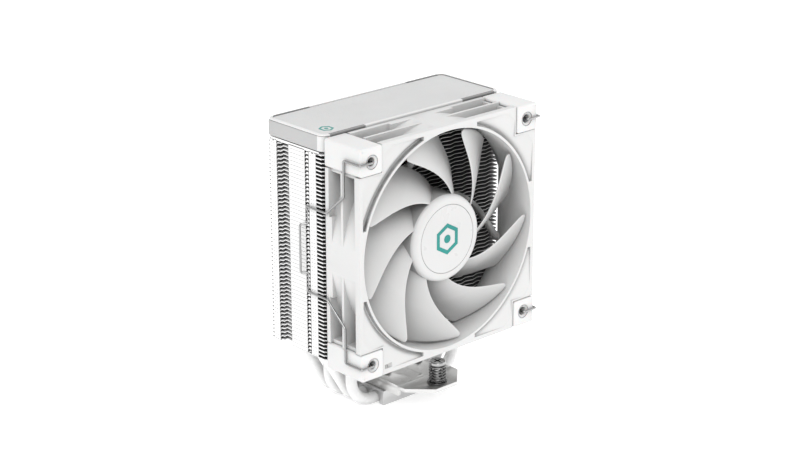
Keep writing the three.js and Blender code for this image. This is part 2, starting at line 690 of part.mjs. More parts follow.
[['front', -1], ['rear', 1]].forEach(([where, side]) => {
  const station = new THREE.Group();
  station.position.set(0, side * SCREW_Y, BAR_TOP);
  cooler.add(station);
  addMesh(station, `spring_screw_${where}`, springScrew(), darkNickel);
  addMesh(station, `screw_spring_${where}`, coilSpring(), darkNickel);
  addMesh(station, `seat_washer_${where}`, washer(SEAT_WASHER), steel);
  addMesh(station, `thrust_washer_${where}`, washer(THRUST_WASHER), steel);
  addMesh(station, `screw_retainer_${where}`, washer(RETAINER), steel);
});

export default cooler;
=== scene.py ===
"""A white tower cooler for a processor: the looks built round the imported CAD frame.

Lengths in this script are millimetres in the row frame, and mesh() turns them into metres.
Fan pieces are drawn in the fan's own frame: origin at the middle of its front face, +Y to the rear.
"""

import math

import bmesh
import bpy
import numpy as np
from mathutils import Matrix, Vector


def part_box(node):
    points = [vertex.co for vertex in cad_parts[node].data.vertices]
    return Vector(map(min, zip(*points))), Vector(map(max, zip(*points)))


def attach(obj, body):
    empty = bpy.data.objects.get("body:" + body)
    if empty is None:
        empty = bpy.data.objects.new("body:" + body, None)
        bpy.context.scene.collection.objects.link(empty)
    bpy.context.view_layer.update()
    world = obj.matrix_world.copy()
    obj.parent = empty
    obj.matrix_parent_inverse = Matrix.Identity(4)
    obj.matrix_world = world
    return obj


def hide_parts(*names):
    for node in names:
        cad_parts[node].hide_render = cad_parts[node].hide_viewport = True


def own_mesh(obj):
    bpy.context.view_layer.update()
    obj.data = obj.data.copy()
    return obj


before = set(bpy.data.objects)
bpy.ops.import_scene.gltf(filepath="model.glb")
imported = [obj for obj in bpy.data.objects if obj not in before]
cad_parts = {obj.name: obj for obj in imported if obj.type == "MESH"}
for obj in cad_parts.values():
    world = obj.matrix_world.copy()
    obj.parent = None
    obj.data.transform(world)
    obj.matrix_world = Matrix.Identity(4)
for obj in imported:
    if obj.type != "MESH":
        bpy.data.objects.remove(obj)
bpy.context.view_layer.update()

MM = 0.001
TAU = 2 * math.pi


def cad_box(node):
    """Lowest and highest corner of a CAD node, in millimetres."""
    low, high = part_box(node)
    return np.array(low) / MM, np.array(high) / MM


# ---- Places worked out from the frame ----

FAN_LOW, FAN_HIGH = cad_box("fan_frame")
FAN = np.array([0.0, FAN_LOW[1], (FAN_LOW[2] + FAN_HIGH[2]) / 2])
HALF = (FAN_HIGH[0] - FAN_LOW[0]) / 2
DEPTH = FAN_HIGH[1] - FAN_LOW[1]
PAD_LOW, PAD_HIGH = cad_box("fan_pad_top_right")
PAD_SIZE = PAD_HIGH[0] - PAD_LOW[0]
PAD_INNER = HALF - PAD_SIZE
PAD_FRONT = PAD_LOW[1] - FAN[1]
PAD_REAR = PAD_HIGH[1] - FAN[1]
FINS_LOW, FINS_HIGH = cad_box("fin_stack")
COVER_LOW, COVER_HIGH = cad_box("top_cover")
BAR_LOW, BAR_HIGH = cad_box("crossbar")
BASE_LOW, BASE_HIGH = cad_box("base_block")
CAP_LOW, CAP_HIGH = cad_box("base_cap")

HOLE = 52.5  # fan hole, from the fan's centre
HOLE_RADIUS = 2.3
DUCT_RADIUS = 57.3
GAP = 0.3  # between the fan's frame and its pads
WELD = 2e-6  # metres: nearer points than this are one point
SEAM = 1e-7  # the same, where a boolean has left two points in one place
FLAT_ANGLE = math.radians(0.4)  # faces that meet at less than this are one flat face

# ---- Mesh building ----


def placed(name, data):
    """A new object in the scene that holds the data."""
    obj = bpy.data.objects.new(name, data)
    bpy.context.scene.collection.objects.link(obj)
    return obj


def mesh(name, verts, faces, smooth=None):
    """A new object from millimetre points. smooth is the angle under which edges shade smooth."""
    data = bpy.data.meshes.new(name)
    data.from_pydata([tuple(float(c) * MM for c in v) for v in verts], [], faces)
    data.validate()
    data.update()
    obj = placed(name, data)
    if smooth is not None:
        shade(obj, smooth)
    return obj


def shade(obj, angle):
    obj.data.shade_smooth()
    obj.data.set_sharp_from_angle(angle=math.radians(angle))
    return obj


def evaluated_mesh(obj):
    graph = bpy.context.evaluated_depsgraph_get()
    return bpy.data.meshes.new_from_object(obj.evaluated_get(graph))


def bake_modifiers(obj):
    """Replaces the object's mesh with the result of its modifiers."""
    result, old = evaluated_mesh(obj), obj.data
    obj.modifiers.clear()
    obj.data = result
    bpy.data.meshes.remove(old)


def discard(obj):
    data = obj.data
    bpy.data.objects.remove(obj)
    if data.users == 0:
        bpy.data.meshes.remove(data)


def face_out(obj, weld=None):
    """Turns every face of a closed mesh outward. weld joins the points that lie nearer than that."""
    work = bmesh.new()
    work.from_mesh(obj.data)
    if weld:
        bmesh.ops.remove_doubles(work, verts=work.verts, dist=weld)
    bmesh.ops.recalc_face_normals(work, faces=work.faces)
    work.to_mesh(obj.data)
    work.free()
    return obj


def boolean(base, tools, operation):
    for tool in tools:
        modifier = base.modifiers.new("cut", "BOOLEAN")
        modifier.object = tool
        modifier.operation = operation
        modifier.solver = "MANIFOLD"
        bake_modifiers(base)
        discard(tool)
    return base


def cut(base, tools):
    return boolean(base, tools, "DIFFERENCE")


def join(base, tools):
    return boolean(base, tools, "UNION")


def keep(base, tools):
    return boolean(base, tools, "INTERSECT")


def tidy_flats(obj):
    """Dissolves the seams that booleans leave across flat faces."""
    work = bmesh.new()
    work.from_mesh(obj.data)
    bmesh.ops.remove_doubles(work, verts=work.verts, dist=SEAM)
    bmesh.ops.dissolve_limit(work, angle_limit=FLAT_ANGLE, verts=work.verts, edges=work.edges)
    work.to_mesh(obj.data)
    work.free()
    return obj


def bevel(obj, width, segments=2, angle=32):
    """Rounds the edges that turn by more than the angle, over a width in millimetres."""
    modifier = obj.modifiers.new("bevel", "BEVEL")
    modifier.width = width * MM
    modifier.segments = segments
    modifier.limit_method = "ANGLE"
    modifier.angle_limit = math.radians(angle)
    modifier.use_clamp_overlap = True
    modifier.miter_outer = "MITER_ARC"
    bake_modifiers(obj)
    return shade(obj, 45)


def box(low, high):
    (x0, y0, z0), (x1, y1, z1) = low, high
    verts = [(x, y, z) for z in (z0, z1) for y in (y0, y1) for x in (x0, x1)]
    faces = [(0, 2, 3, 1), (4, 5, 7, 6), (0, 1, 5, 4), (2, 6, 7, 3), (0, 4, 6, 2), (1, 3, 7, 5)]
    return mesh("box", verts, faces)


AXES = {
    "X": np.array([[0, 0, 1], [1, 0, 0], [0, 1, 0]], float),
    "Y": np.array([[0, 1, 0], [0, 0, 1], [1, 0, 0]], float),
    "Z": np.eye(3),
}


def along(axis, points):
    """Turns points drawn about Z so that they lie about the named axis."""
    return np.asarray(points, float) @ AXES[axis].T


def lathe(profile, sides, axis="Z", centre=(0, 0, 0), smooth=None):
    """Turns (radius, height) points, counterclockwise in that plane, about an axis.

    A profile that starts and ends on the axis gets a point there, and any other one closes."""
    pointed = profile[0][0] == 0
    rings, verts, faces = [], [], []
    for r, h in profile:
        if r == 0:
            rings.append([len(verts)] * sides)
            verts.append((0, 0, h))
            continue
        rings.append(list(range(len(verts), len(verts) + sides)))
        for k in range(sides):
            a = TAU * (k + 0.5) / sides
            verts.append((r * math.cos(a), r * math.sin(a), h))
    pairs = list(zip(rings, rings[1:])) + ([] if pointed else [(rings[-1], rings[0])])
    for low, high in pairs:
        for k in range(sides):
            j = (k + 1) % sides
            quad = [low[k], low[j], high[j], high[k]]
            face = [v for i, v in enumerate(quad) if v != quad[i - 1]]
            if len(face) > 2:
                faces.append(face)
    return mesh("lathe", along(axis, verts) + np.array(centre), faces, smooth)


def cylinder(radius, low, high, sides, axis="Z", centre=(0, 0, 0)):
    return lathe([(0, low), (radius, low), (radius, high), (0, high)], sides, axis, centre)


def ring(inner, outer, low, high, sides, axis="Z", centre=(0, 0, 0)):
    return lathe([(inner, low), (outer, low), (outer, high), (inner, high)], sides, axis, centre)


def prism(outline, low, high, axis="Z"):
    """A counterclockwise outline drawn straight along an axis.

    The outline's plane is X-Y for Z, Y-Z for X and Z-X for Y."""
    count = len(outline)
    verts = [(a, b, h) for h in (low, high) for a, b in outline]
    faces = [list(range(count))[::-1], list(range(count, 2 * count))]
    faces += [(i, (i + 1) % count, (i + 1) % count + count, i + count) for i in range(count)]
    return mesh("prism", along(axis, verts), faces)


def span(side, a, b):
    """Two distances from the middle as coordinates on one side, the lower first."""
    return sorted((side * a, side * b))


def arc(cx, cy, radius, start, end, steps):
    angles = np.radians(np.linspace(start, end, steps + 1))
    return [(cx + radius * math.cos(a), cy + radius * math.sin(a)) for a in angles]


def rounded_rectangle(x0, x1, y0, y1, r, steps=8):
    centres = ((x1 - r, y0 + r), (x1 - r, y1 - r), (x0 + r, y1 - r), (x0 + r, y0 + r))
    return [p for i, (x, y) in enumerate(centres) for p in arc(x, y, r, 90 * i - 90, 90 * i, steps)]


def mirrored(points):
    """The same points on the other side of x = 0, in reverse order."""
    return [(-x, *rest) for x, *rest in reversed(points)]


def bent_path(points, radius, steps):
    """A polyline whose corners are rounded to arcs."""
    points = [np.array(p, float) for p in points]
    path = [points[0]]
    for before, corner, after in zip(points, points[1:], points[2:]):
        into = (corner - before) / np.linalg.norm(corner - before)
        out = (after - corner) / np.linalg.norm(after - corner)
        turn = math.acos(max(-1, min(1, float(into @ out))))
        back = radius * math.tan(turn / 2)
        normal = out - into * (into @ out)
        normal /= np.linalg.norm(normal)
        centre = corner - into * back + normal * radius
        for k in range(steps + 1):
            a = turn * k / steps
            path.append(centre - normal * radius * math.cos(a) + into * radius * math.sin(a))
    path.append(points[-1])
    return np.array(path)


def ring_faces(count, sides):
    """Faces that join rings of points, given one after the other, and close both ends."""
    last = count - sides
    faces = []
    for start in range(0, last, sides):
        for k in range(sides):
            a, b = start + k, start + (k + 1) % sides
            faces.append((a, b, b + sides, a + sides))
    return faces + [list(range(sides))[::-1], list(range(last, count))]


def loft(verts, sides, smooth=None):
    return mesh("loft", verts, ring_faces(len(verts), sides), smooth)


def tube(path, radius, sides, taper=None):
    """A round tube along a path, closed at both ends. taper scales the radius at each point."""
    path = np.asarray(path, float)
    steps = np.gradient(path, axis=0)
    tangents = steps / np.linalg.norm(steps, axis=1)[:, None]
    start = np.array([0, 0, 1.0]) if abs(tangents[0][2]) < 0.9 else np.array([0, 1.0, 0])
    normal = np.cross(tangents[0], start)
    verts = []
    for i, (point, tangent) in enumerate(zip(path, tangents)):
        normal = normal - tangent * (normal @ tangent)
        normal /= np.linalg.norm(normal)
        side = np.cross(tangent, normal)
        r = radius * (1 if taper is None else taper[i])
        for k in range(sides):
            a = TAU * k / sides
            verts.append(point + r * (math.cos(a) * normal + math.sin(a) * side))
    return loft(verts, sides, 40)


def moved(obj, offset=(0, 0, 0), turn=None):
    """Moves the mesh itself, so that the object stays at the origin. Offset in millimetres."""
    if turn is not None:
        obj.data.transform(turn)
    obj.data.transform(Matrix.Translation(Vector(offset) * MM))
    obj.data.update()
    return obj


def about(axis, degrees):
    return Matrix.Rotation(math.radians(degrees), 4, axis)


def merge(name, parts):
    """One object out of several that don't share faces."""
    work = bmesh.new()
    for part in parts:
        work.from_mesh(part.data)
    data = bpy.data.meshes.new(name)
    work.to_mesh(data)
    work.free()
    for part in parts:
        discard(part)
    return placed(name, data)


def finish_piece(obj, name, material, *nodes, body="heatsink", slot=None):
    """Names a piece, gives it its material, rides it on its body and hides what it stands for.

    slot is not used. Blender numbers the material's name, because the CAD's own material already has it."""
    obj.name = obj.data.name = name
    obj.data.materials.clear()
    obj.data.materials.append(material)
    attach(obj, body)
    if nodes:
        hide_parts(*nodes)
    return obj


def in_fan(obj):
    return moved(obj, FAN)


# ---- Materials ----


NOISE_SPAN = (0.3, 0.7)  # where nearly all the values of a noise lie


class Nodes:
    """A short way to write a node tree."""

    def __init__(self, name):
        self.material = bpy.data.materials.new(name)
        self.material.use_nodes = True
        self.tree = self.material.node_tree
        self.tree.nodes.clear()
        output = self.add("ShaderNodeOutputMaterial")
        self.shader = self.add("ShaderNodeBsdfPrincipled")
        self.link(self.shader.outputs[0], output.inputs["Surface"])
        self.place = self.add("ShaderNodeTexCoord").outputs["Object"]

    def add(self, kind, **inputs):
        node = self.tree.nodes.new(kind)
        for key, value in inputs.items():
            node.inputs[key.replace("_", " ")].default_value = value
        return node

    def link(self, output, socket):
        self.tree.links.new(output, socket)

    def noise(self, scale, detail, roughness=0.5, place=None):
        node = self.add("ShaderNodeTexNoise", Scale=scale, Detail=detail, Roughness=roughness)
        self.link(place or self.place, node.inputs["Vector"])
        return node.outputs["Fac"]

    def ramp(self, noise, *colours):
        """A colour that follows a noise from the first colour to the second."""
        node = self.add("ShaderNodeValToRGB")
        for element, position, colour in zip(node.color_ramp.elements, NOISE_SPAN, colours):
            element.position = position
            element.color = (*colour, 1)
        self.link(noise, node.inputs["Fac"])
        return node.outputs["Color"]

    def gloss(self, noise, rough):
        """Varies the roughness between two values."""
        node = self.add("ShaderNodeMapRange", To_Min=rough[0], To_Max=rough[1])
        node.inputs["From Min"].default_value, node.inputs["From Max"].default_value = NOISE_SPAN
        self.link(noise, node.inputs["Value"])
        self.link(node.outputs["Result"], self.shader.inputs["Roughness"])

    def stretched(self, scale):
        node = self.add("ShaderNodeMapping", Scale=scale)
        self.link(self.place, node.inputs["Vector"])
        return node.outputs["Vector"]

    def bump(self, height, depth, strength):
        node = self.add("ShaderNodeBump", Distance=depth * MM, Strength=strength)
        self.link(height, node.inputs["Height"])
        self.link(node.outputs["Normal"], self.shader.inputs["Normal"])

    def hollows(self, colour, reach, share):
        """The base colour, dulled in corners and hollows where little light reaches."""
        dulled = self.add("ShaderNodeAmbientOcclusion", Distance=reach * MM)
        dulled.samples = 6
        self.link(colour, dulled.inputs["Color"])
        mix = self.add("ShaderNodeMix")
        mix.data_type = "RGBA"
        mix.inputs[0].default_value = share
        self.link(colour, mix.inputs[6])
        self.link(dulled.outputs["Color"], mix.inputs[7])
        self.link(mix.outputs[2], self.shader.inputs["Base Color"])

    def set(self, **values):
        for key, value in values.items():
            self.shader.inputs[key.replace("_", " ")].default_value = value


def grey(level, warm=0.0):
    """A grey whose blue is lower by warm."""
    return (level, level - 0.2 * warm, level - warm)


def moulded(name, low, high, rough=(0.38, 0.5), grain=2600, depth=0.02, reach=12, share=0.5):
    """Moulded plastic: a fine spark-eroded grain, slight flow marks and uneven gloss."""
    n = Nodes(name)
    n.hollows(n.ramp(n.noise(26, 2), low, high), reach, share)
    n.gloss(n.noise(140, 4), rough)
    n.bump(n.noise(grain, 3, 0.6), depth, 0.5)
    n.set(Specular_IOR_Level=0.45, Subsurface_Weight=0.04, Subsurface_Scale=0.5 * MM)
    return n.material


def coated(name, low, high, rough=(0.35, 0.5)):
    """Powder coat on sheet metal: a soft orange peel."""
    n = Nodes(name)
    n.hollows(n.ramp(n.noise(60, 3), low, high), 6, 0.35)
    n.gloss(n.noise(300, 3), rough)
    n.bump(n.noise(900, 2, 0.4), 0.02, 0.35)
    n.set(Specular_IOR_Level=0.5)
    return n.material


def metal(name, low, high, rough=(0.2, 0.35), brushed=None, depth=0.01, streak=900):
    """Bare or plated metal. brushed stretches the marks along an axis."""
    n = Nodes(name)
    place = n.stretched(brushed) if brushed else n.place
    marks = n.noise(streak, 4, 0.6, place)
    n.link(n.ramp(n.noise(45, 3), low, high), n.shader.inputs["Base Color"])
    n.gloss(marks, rough)
    n.bump(marks, depth, 0.5)
    n.set(Metallic=1.0)
    return n.material


def rubber(name, low, high):
    n = Nodes(name)
    n.hollows(n.ramp(n.noise(40, 3), low, high), 4, 0.5)
    n.gloss(n.noise(200, 3), (0.6, 0.75))
    n.bump(n.noise(1800, 4, 0.6), 0.03, 0.6)
    n.set(Specular_IOR_Level=0.35, Sheen_Weight=0.1, Sheen_Roughness=0.5)
    n.set(Subsurface_Weight=0.08, Subsurface_Scale=0.8 * MM)
    return n.material


FRAME_WHITE = moulded("frame_plastic", grey(0.55, 0.005), grey(0.575, 0.004), (0.36, 0.46))
COVER_WHITE = moulded("cover_plastic", grey(0.60, 0.004), grey(0.63, 0.003), (0.30, 0.42))
COVER_PANEL = moulded("cover_panel", grey(0.51, 0.002), grey(0.54, 0.001), (0.34, 0.44))
COVER_END = moulded("cover_end", grey(0.39, 0.001), grey(0.41, 0.001), (0.38, 0.46))
BLADE_GREY = moulded(
    "blade_plastic", grey(0.485, 0.005), grey(0.51, 0.004), (0.34, 0.44), reach=20, share=0.55)
# Dark grey for the hub's side: painted shade for the grey band round the hub.
HUB_SIDE_SHADE = moulded("hub_side_shade", grey(0.33, 0.004), grey(0.36, 0.003), (0.34, 0.44))
HUB_WHITE = moulded("hub_plastic", grey(0.535, 0.004), grey(0.56, 0.003), (0.34, 0.44))
LABEL_WHITE = moulded("label_film", grey(0.535, 0.003), grey(0.555, 0.002), (0.26, 0.34), 700, 0.004)
PAD_WHITE = rubber("pad_rubber", grey(0.61, 0.004), grey(0.64, 0.003))
TRIM_GREY = moulded("trim_plastic", grey(0.20, 0.0), grey(0.23, 0.0), (0.3, 0.4))
# Near-black painted shade for the groove and the gaps round the cover's trim.
TRIM_SHADE = moulded("trim_gap_shade", grey(0.07, 0.0), grey(0.09, 0.0), (0.4, 0.5))
TEAL = moulded("emblem_ink", (0.0, 0.19, 0.17), (0.0, 0.24, 0.21), (0.3, 0.4), 900, 0.01)
MARK_GREY = moulded("mark_ink", grey(0.38), grey(0.46), (0.4, 0.5), 900, 0.01)
FIN_WHITE = coated("fin_coating", grey(0.72, 0.003), grey(0.76, 0.002))
# Near-black painted shade for the gaps between the fins: the fins' flat faces inside the stack and the
# collars between them.
FIN_GAP_SHADE = coated("fin_gap_shade", grey(0.06), grey(0.08), (0.45, 0.6))
NICKEL = metal("nickel_steel", grey(0.64, 0.01), grey(0.69, 0.01), (0.26, 0.34), (1, 14, 1), 0.003)
# A darker copy of the nickel for the ears' tops: painted shade for the darker reflection of the ears, which
# bend down slightly.
SHADED_EAR_NICKEL = metal("shaded_ear_nickel", grey(0.50, 0.01), grey(0.54, 0.01), (0.3, 0.38), (14, 1, 1), 0.004)
PIPE = coated("pipe_coating", grey(0.74, 0.003), grey(0.78, 0.002), (0.2, 0.3))
ALUMINIUM = metal("base_aluminium", grey(0.54), grey(0.60), (0.26, 0.38), (20, 1, 1), 0.006)
BLACK_NICKEL = metal("black_nickel", grey(0.12), grey(0.16), (0.08, 0.15), None, 0.003)
# A lighter copy of the black nickel for the spring screws' heads: a painted highlight for their bright rims.
LIT_HEAD_NICKEL = metal("lit_head_nickel", grey(0.34), grey(0.40), (0.08, 0.15), None, 0.003)
WIRE = metal("clip_wire", grey(0.30), grey(0.38), (0.16, 0.26), (1, 1, 10), 0.004)
SCREW_STEEL = metal("screw_steel", grey(0.36), grey(0.45), (0.25, 0.38), None, 0.01)
SPRING_STEEL = metal("spring_steel", grey(0.28), grey(0.36), (0.25, 0.4), None, 0.01)
YOKE_STEEL = metal("yoke_steel", grey(0.45), grey(0.52), (0.3, 0.42), (1, 1, 12), 0.01)
SHAFT_STEEL = metal("shaft_steel", grey(0.62), grey(0.68), (0.1, 0.18), (12, 1, 1), 0.004)
BRASS = metal("sleeve_brass", (0.55, 0.38, 0.15), (0.66, 0.48, 0.2), (0.24, 0.34), (1, 12, 1))
STATOR_STEEL = metal("stator_steel", grey(0.25), grey(0.32), (0.4, 0.55), (1, 30, 1), 0.03)
COPPER = metal("coil_copper", (0.45, 0.17, 0.07), (0.62, 0.26, 0.12), (0.25, 0.4), (1, 25, 1), 0.05)
MAGNET = moulded("magnet_ferrite", grey(0.03), grey(0.05), (0.6, 0.75))
BOARD = moulded("board_laminate", (0.01, 0.09, 0.04), (0.015, 0.13, 0.06), (0.35, 0.5))

# ---- Fin stack ----

FIN_COUNT = 53
FIN_SHEET = 0.4
FOLD = 0.3  # thickness of the folded side edges
CORNER = 1.0  # chamfer at the fins' corners
PLEATS = 14  # in half of the front or rear edge
SIDE = FINS_HIGH[0]
FIN_FRONT, FIN_REAR = FINS_LOW[1], FINS_HIGH[1]
TOOTH = 1.15  # depth of the pleats along the front and rear edges
TAB_BANDS = [(-15.9, -10.9), (14.1, 18.8)]
CLOSED_BAND = (-7.6, 4.5)
GROOVE = (-10.4, -8.1)
LIPS = (FIN_FRONT + 1.0, -16.1)
NOTCH = (4.9, 13.7)
NOTCH_DEPTH = 5.0
TOP_FIN = FINS_HIGH[2] - 0.9  # top of the highest whole fin; its own edge is folded up above it
V_HALF = 1.3  # half the width of the V cuts, and their depth
PIPE_PITCH = 8.7
PIPE_RADIUS = 3.0
PIPE_HOLE = 3.15
COLLAR = (3.06, 3.3)  # inner and outer radius
PIPE_LEGS = [
    (step * PIPE_PITCH, cad_box(f"heat_pipe_{i + 1}")[1][0] - PIPE_RADIUS)
    for i, step in enumerate((-1.5, -0.5, 0.5, 1.5))
]


def fin_outline():
    """Right half of a fin's outline from the front middle round to the rear middle, mirrored."""
    zigzag = [((SIDE - CORNER) * i / PLEATS, TOOTH if i % 2 else 0) for i in range(PLEATS + 1)]
    edge, floor = SIDE - FOLD, SIDE - NOTCH_DEPTH
    half = [(x, FIN_FRONT + depth) for x, depth in zigzag]
    half += [(edge, FIN_FRONT + CORNER), (edge, TAB_BANDS[0][0]), (edge, GROOVE[0])]
    half += [(SIDE - 1.5, (GROOVE[0] + GROOVE[1]) / 2), (edge, GROOVE[1]), (edge, NOTCH[0])]
    half += [(floor, NOTCH[0] + 0.1), (floor, NOTCH[1] - 0.1), (edge, NOTCH[1]), (edge, TAB_BANDS[1][1])]
    half += [(x, FIN_REAR - depth) for x, depth in reversed(zigzag)]
    return half + [(x, y) for x, y in mirrored(half) if x < 0]


def one_fin():
    """A sheet with collared pipe holes, centred on z = 0."""
    curve = bpy.data.curves.new("fin", "CURVE")
    curve.dimensions = "2D"
    curve.fill_mode = "BOTH"
    curve.extrude = FIN_SHEET / 2 * MM
    holes = [arc(x, y, PIPE_HOLE, 0, 345, 23) for y, leg in PIPE_LEGS for x in (-leg, leg)]
    for loop in [fin_outline(), *holes]:
        spline = curve.splines.new("POLY")
        spline.points.add(len(loop) - 1)
        for point, (x, y) in zip(spline.points, loop):
            point.co = (x * MM, y * MM, 0, 1)
        spline.use_cyclic_u = True
    holder = placed("fin", curve)
    sheet = placed("fin_sheet", evaluated_mesh(holder))
    bpy.data.objects.remove(holder)
    bpy.data.curves.remove(curve)
    data = face_out(sheet, WELD).data
    verts = np.array([v.co for v in data.vertices]) / MM
    faces = [list(p.vertices) for p in data.polygons]
    discard(sheet)
    return verts, faces


def fin_heights():
    low = FINS_LOW[2] + FIN_SHEET / 2
    high = TOP_FIN - FIN_SHEET / 2
    return np.linspace(low, high, FIN_COUNT)


def build_fins():
    verts, faces = one_fin()
    heights = fin_heights()
    count = len(verts)
    all_verts = np.vstack([verts + (0, 0, z) for z in heights])
    all_faces = [[v + count * i for v in face] for i in range(FIN_COUNT) for face in faces]
    fins = mesh("fins", all_verts, all_faces)
    finish_piece(fins, "fins", FIN_WHITE, "fin_stack")
    # Flat faces inside the stack get the near-black painted shade of the gaps between the fins; the lowest
    # and highest faces stay white.
    fins.data.materials.append(FIN_GAP_SHADE)
    lowest, highest = heights[0], heights[-1]
    for polygon in fins.data.polygons:
        z = polygon.center.z / MM
        outside = z < lowest or z > highest
        if abs(polygon.normal.z) > 0.9 and not outside:
            polygon.material_index = 1


def tab_outline(kind, y0, y1, z0, z1, is_top):
    """A tab from the side, between the top of the fin below, z0, and that of its own fin, z1."""
    if kind == "plain":
        return [(y0, z0 + 0.17), (y1, z0 + 0.17), (y1, z1), (y0, z1)]
    if kind == "lip":  # low, so the gaps stay open along the front corner
        return [(y0, z1 - 0.62), (y1, z1 - 0.62), (y1, z1), (y0, z1)]
    if kind == "hook":  # a small tongue that half closes the groove between two bands
        tongue = ((0, 0), (1.3, 0), (1.75, 0.5), (1.2, 1.15), (0, 1.05))
        return [(y0 + y, z0 + 0.05 + z) for y, z in tongue]
    low, half, high = z0 + 0.03, 0.22, 0.34  # pierced: two relief notches below, a V cut in the top one
    points = [(y0, low)]
    for share in (0.36, 0.7):
        y = y0 + (y1 - y0) * share
        points += [(y - half, low), (y - half, low + high), (y + half, low + high), (y + half, low)]
    points += [(y1, low), (y1, z1)]
    if is_top:
        middle = (y0 + y1) / 2
        points += [(middle + V_HALF, z1), (middle, z1 - V_HALF), (middle - V_HALF, z1)]
    points.append((y0, z1))
    return points


def folded_edge(name, band, kind, side):
    """The tabs folded down from each fin's side edge, one under each fin."""
    parts = []
    below = FINS_LOW[2]
    for i, z in enumerate(fin_heights()):
        top = z + FIN_SHEET / 2
        points = tab_outline(kind, *band, below, top, i == FIN_COUNT - 1)
        parts.append(prism(points, *span(side, SIDE - FOLD, SIDE), "X"))
        below = top
    finish_piece(merge(name, parts), name, FIN_WHITE)


def top_strip(side):
    """The highest fin's edge, folded up under the cover, with the wide ends of the V cuts."""
    low, high = TOP_FIN - FIN_SHEET, FINS_HIGH[2] - 0.05
    points = [(FIN_FRONT + 3, low)]
    for y0, y1 in TAB_BANDS:
        middle = (y0 + y1) / 2
        points += [(middle - V_HALF, low), (middle - 1.55, low + 0.35), (middle + 1.55, low + 0.35)]
        points.append((middle + V_HALF, low))
    points += [(FIN_REAR - 1.3, low), (FIN_REAR - 1.3, high), (FIN_FRONT + 3, high)]
    return prism(points, *span(side, SIDE - FOLD, SIDE), "X")


def wavy_edge(side):
    """In the open stretch each fin's edge is pressed into a step: up a little, then well down."""
    steps = [(NOTCH[0], 0.0), (7.4, 0.12), (8.9, 0.2), (10.9, -1.15), (NOTCH[1] - 0.1, -1.4)]
    inner, outer = side * (SIDE - NOTCH_DEPTH - 0.2), side * (SIDE - 0.35)
    half = FIN_SHEET / 2
    section = ((inner, -half), (inner, half), (outer, half), (outer, -half))
    parts = []
    for z in fin_heights()[1:]:
        parts.append(face_out(loft([(x, y, z + lift + dz) for y, lift in steps for x, dz in section], 4)))
    return merge("edges", parts)


def build_bands():
    for side, where in ((-1, "left"), (1, "right")):
        folded_edge(f"fin_band_{where}", CLOSED_BAND, "plain", side)
        folded_edge(f"fin_tabs_front_{where}", TAB_BANDS[0], "pierced", side)
        folded_edge(f"fin_tabs_rear_{where}", TAB_BANDS[1], "pierced", side)
        folded_edge(f"fin_hooks_{where}", GROOVE, "hook", side)
        folded_edge(f"fin_lips_{where}", LIPS, "lip", side)
        edges = merge("edges", [wavy_edge(side), top_strip(side)])
        finish_piece(edges, f"fin_edges_{where}", FIN_WHITE)


def build_collars():
    """The turned-up collars where the sheets grip the pipes, seen between the fins, in the near-black
    painted shade of the gaps.
    """
    heights = fin_heights()
    parts = [ring(*COLLAR, heights[0], heights[-1], 24, "Z", (x, y, 0))
             for y, leg in PIPE_LEGS for x in (-leg, leg)]
    collars = shade(merge("pipe_collars", parts), 40)
    finish_piece(collars, "pipe_collars", FIN_GAP_SHADE, slot="fin_coating")


# ---- Heat pipes, base and crossbar ----

PIPE_TOP = cad_box("heat_pipe_1")[1][2]
PIPE_TIP = ((0, 0.55), (0.9, 0.8), (2.2, 0.95), (4, 1))  # depth under the top, share of the radius
OUTER_BEND = (28.7, 28.8)  # X where the outer pipes reach the base, Z where they turn in from their legs


def build_pipes():
    for i, (y, leg) in enumerate(PIPE_LEGS):
        wide = i % 2 == 1
        left = [(-leg, y, PIPE_RADIUS)]
        if wide:
            left = [(-leg, y, OUTER_BEND[1]), (-OUTER_BEND[0], y, PIPE_RADIUS)]
        route = [(-leg, y, PIPE_TOP), *left, *mirrored(left), (leg, y, PIPE_TOP)]
        path = bent_path(route, 12 if wide else 14, 10)
        start = [(-leg, y, PIPE_TOP - depth) for depth, _ in PIPE_TIP]
        shares = [share for _, share in PIPE_TIP]
        taper = shares + [1] * (len(path) - 2) + shares[::-1]
        pipe = tube(np.vstack([start, path[1:-1], mirrored(start)]), PIPE_RADIUS, 32, taper)
        for vertex in pipe.data.vertices:
            vertex.co.z = max(vertex.co.z, 0.0)
        name = f"heat_pipe_{i + 1}"
        finish_piece(pipe, name + "_coated", PIPE, name)


def base_outline():
    points = [(BASE_LOW[1], BASE_HIGH[2]), (BASE_LOW[1], 0)]
    groove = PIPE_RADIUS + 0.12
    for y, _ in PIPE_LEGS:
        points += [(y - groove, 0)] + arc(y, PIPE_RADIUS, groove, 180, 0, 16) + [(y + groove, 0)]
    return points + [(BASE_HIGH[1], 0), (BASE_HIGH[1], BASE_HIGH[2])]


def build_base():
    block = bevel(prism(base_outline(), BASE_LOW[0], BASE_HIGH[0], "X"), 0.35, 2, 50)
    finish_piece(block, "base_plate", ALUMINIUM, "base_block")
    cap = bevel(box(CAP_LOW, CAP_HIGH), 0.5, 2)
    finish_piece(cap, "base_top_block", ALUMINIUM, "base_cap")


BAR_THICKNESS = 2.0
EAR_HALF = 7.5
LIP_HALF = 29.4
SCREW_HOLE, FIXING_HOLE, DIMPLE = 2.35, 1.45, 0.9  # radii
DIMPLE_Y = 26.1
SCREW_Y = np.mean(cad_box("spring_screw_rear"), axis=0)[1]
FIXINGS = [np.mean(cad_box(f"crossbar_fixing_screw_{i}"), axis=0) for i in range(1, 5)]


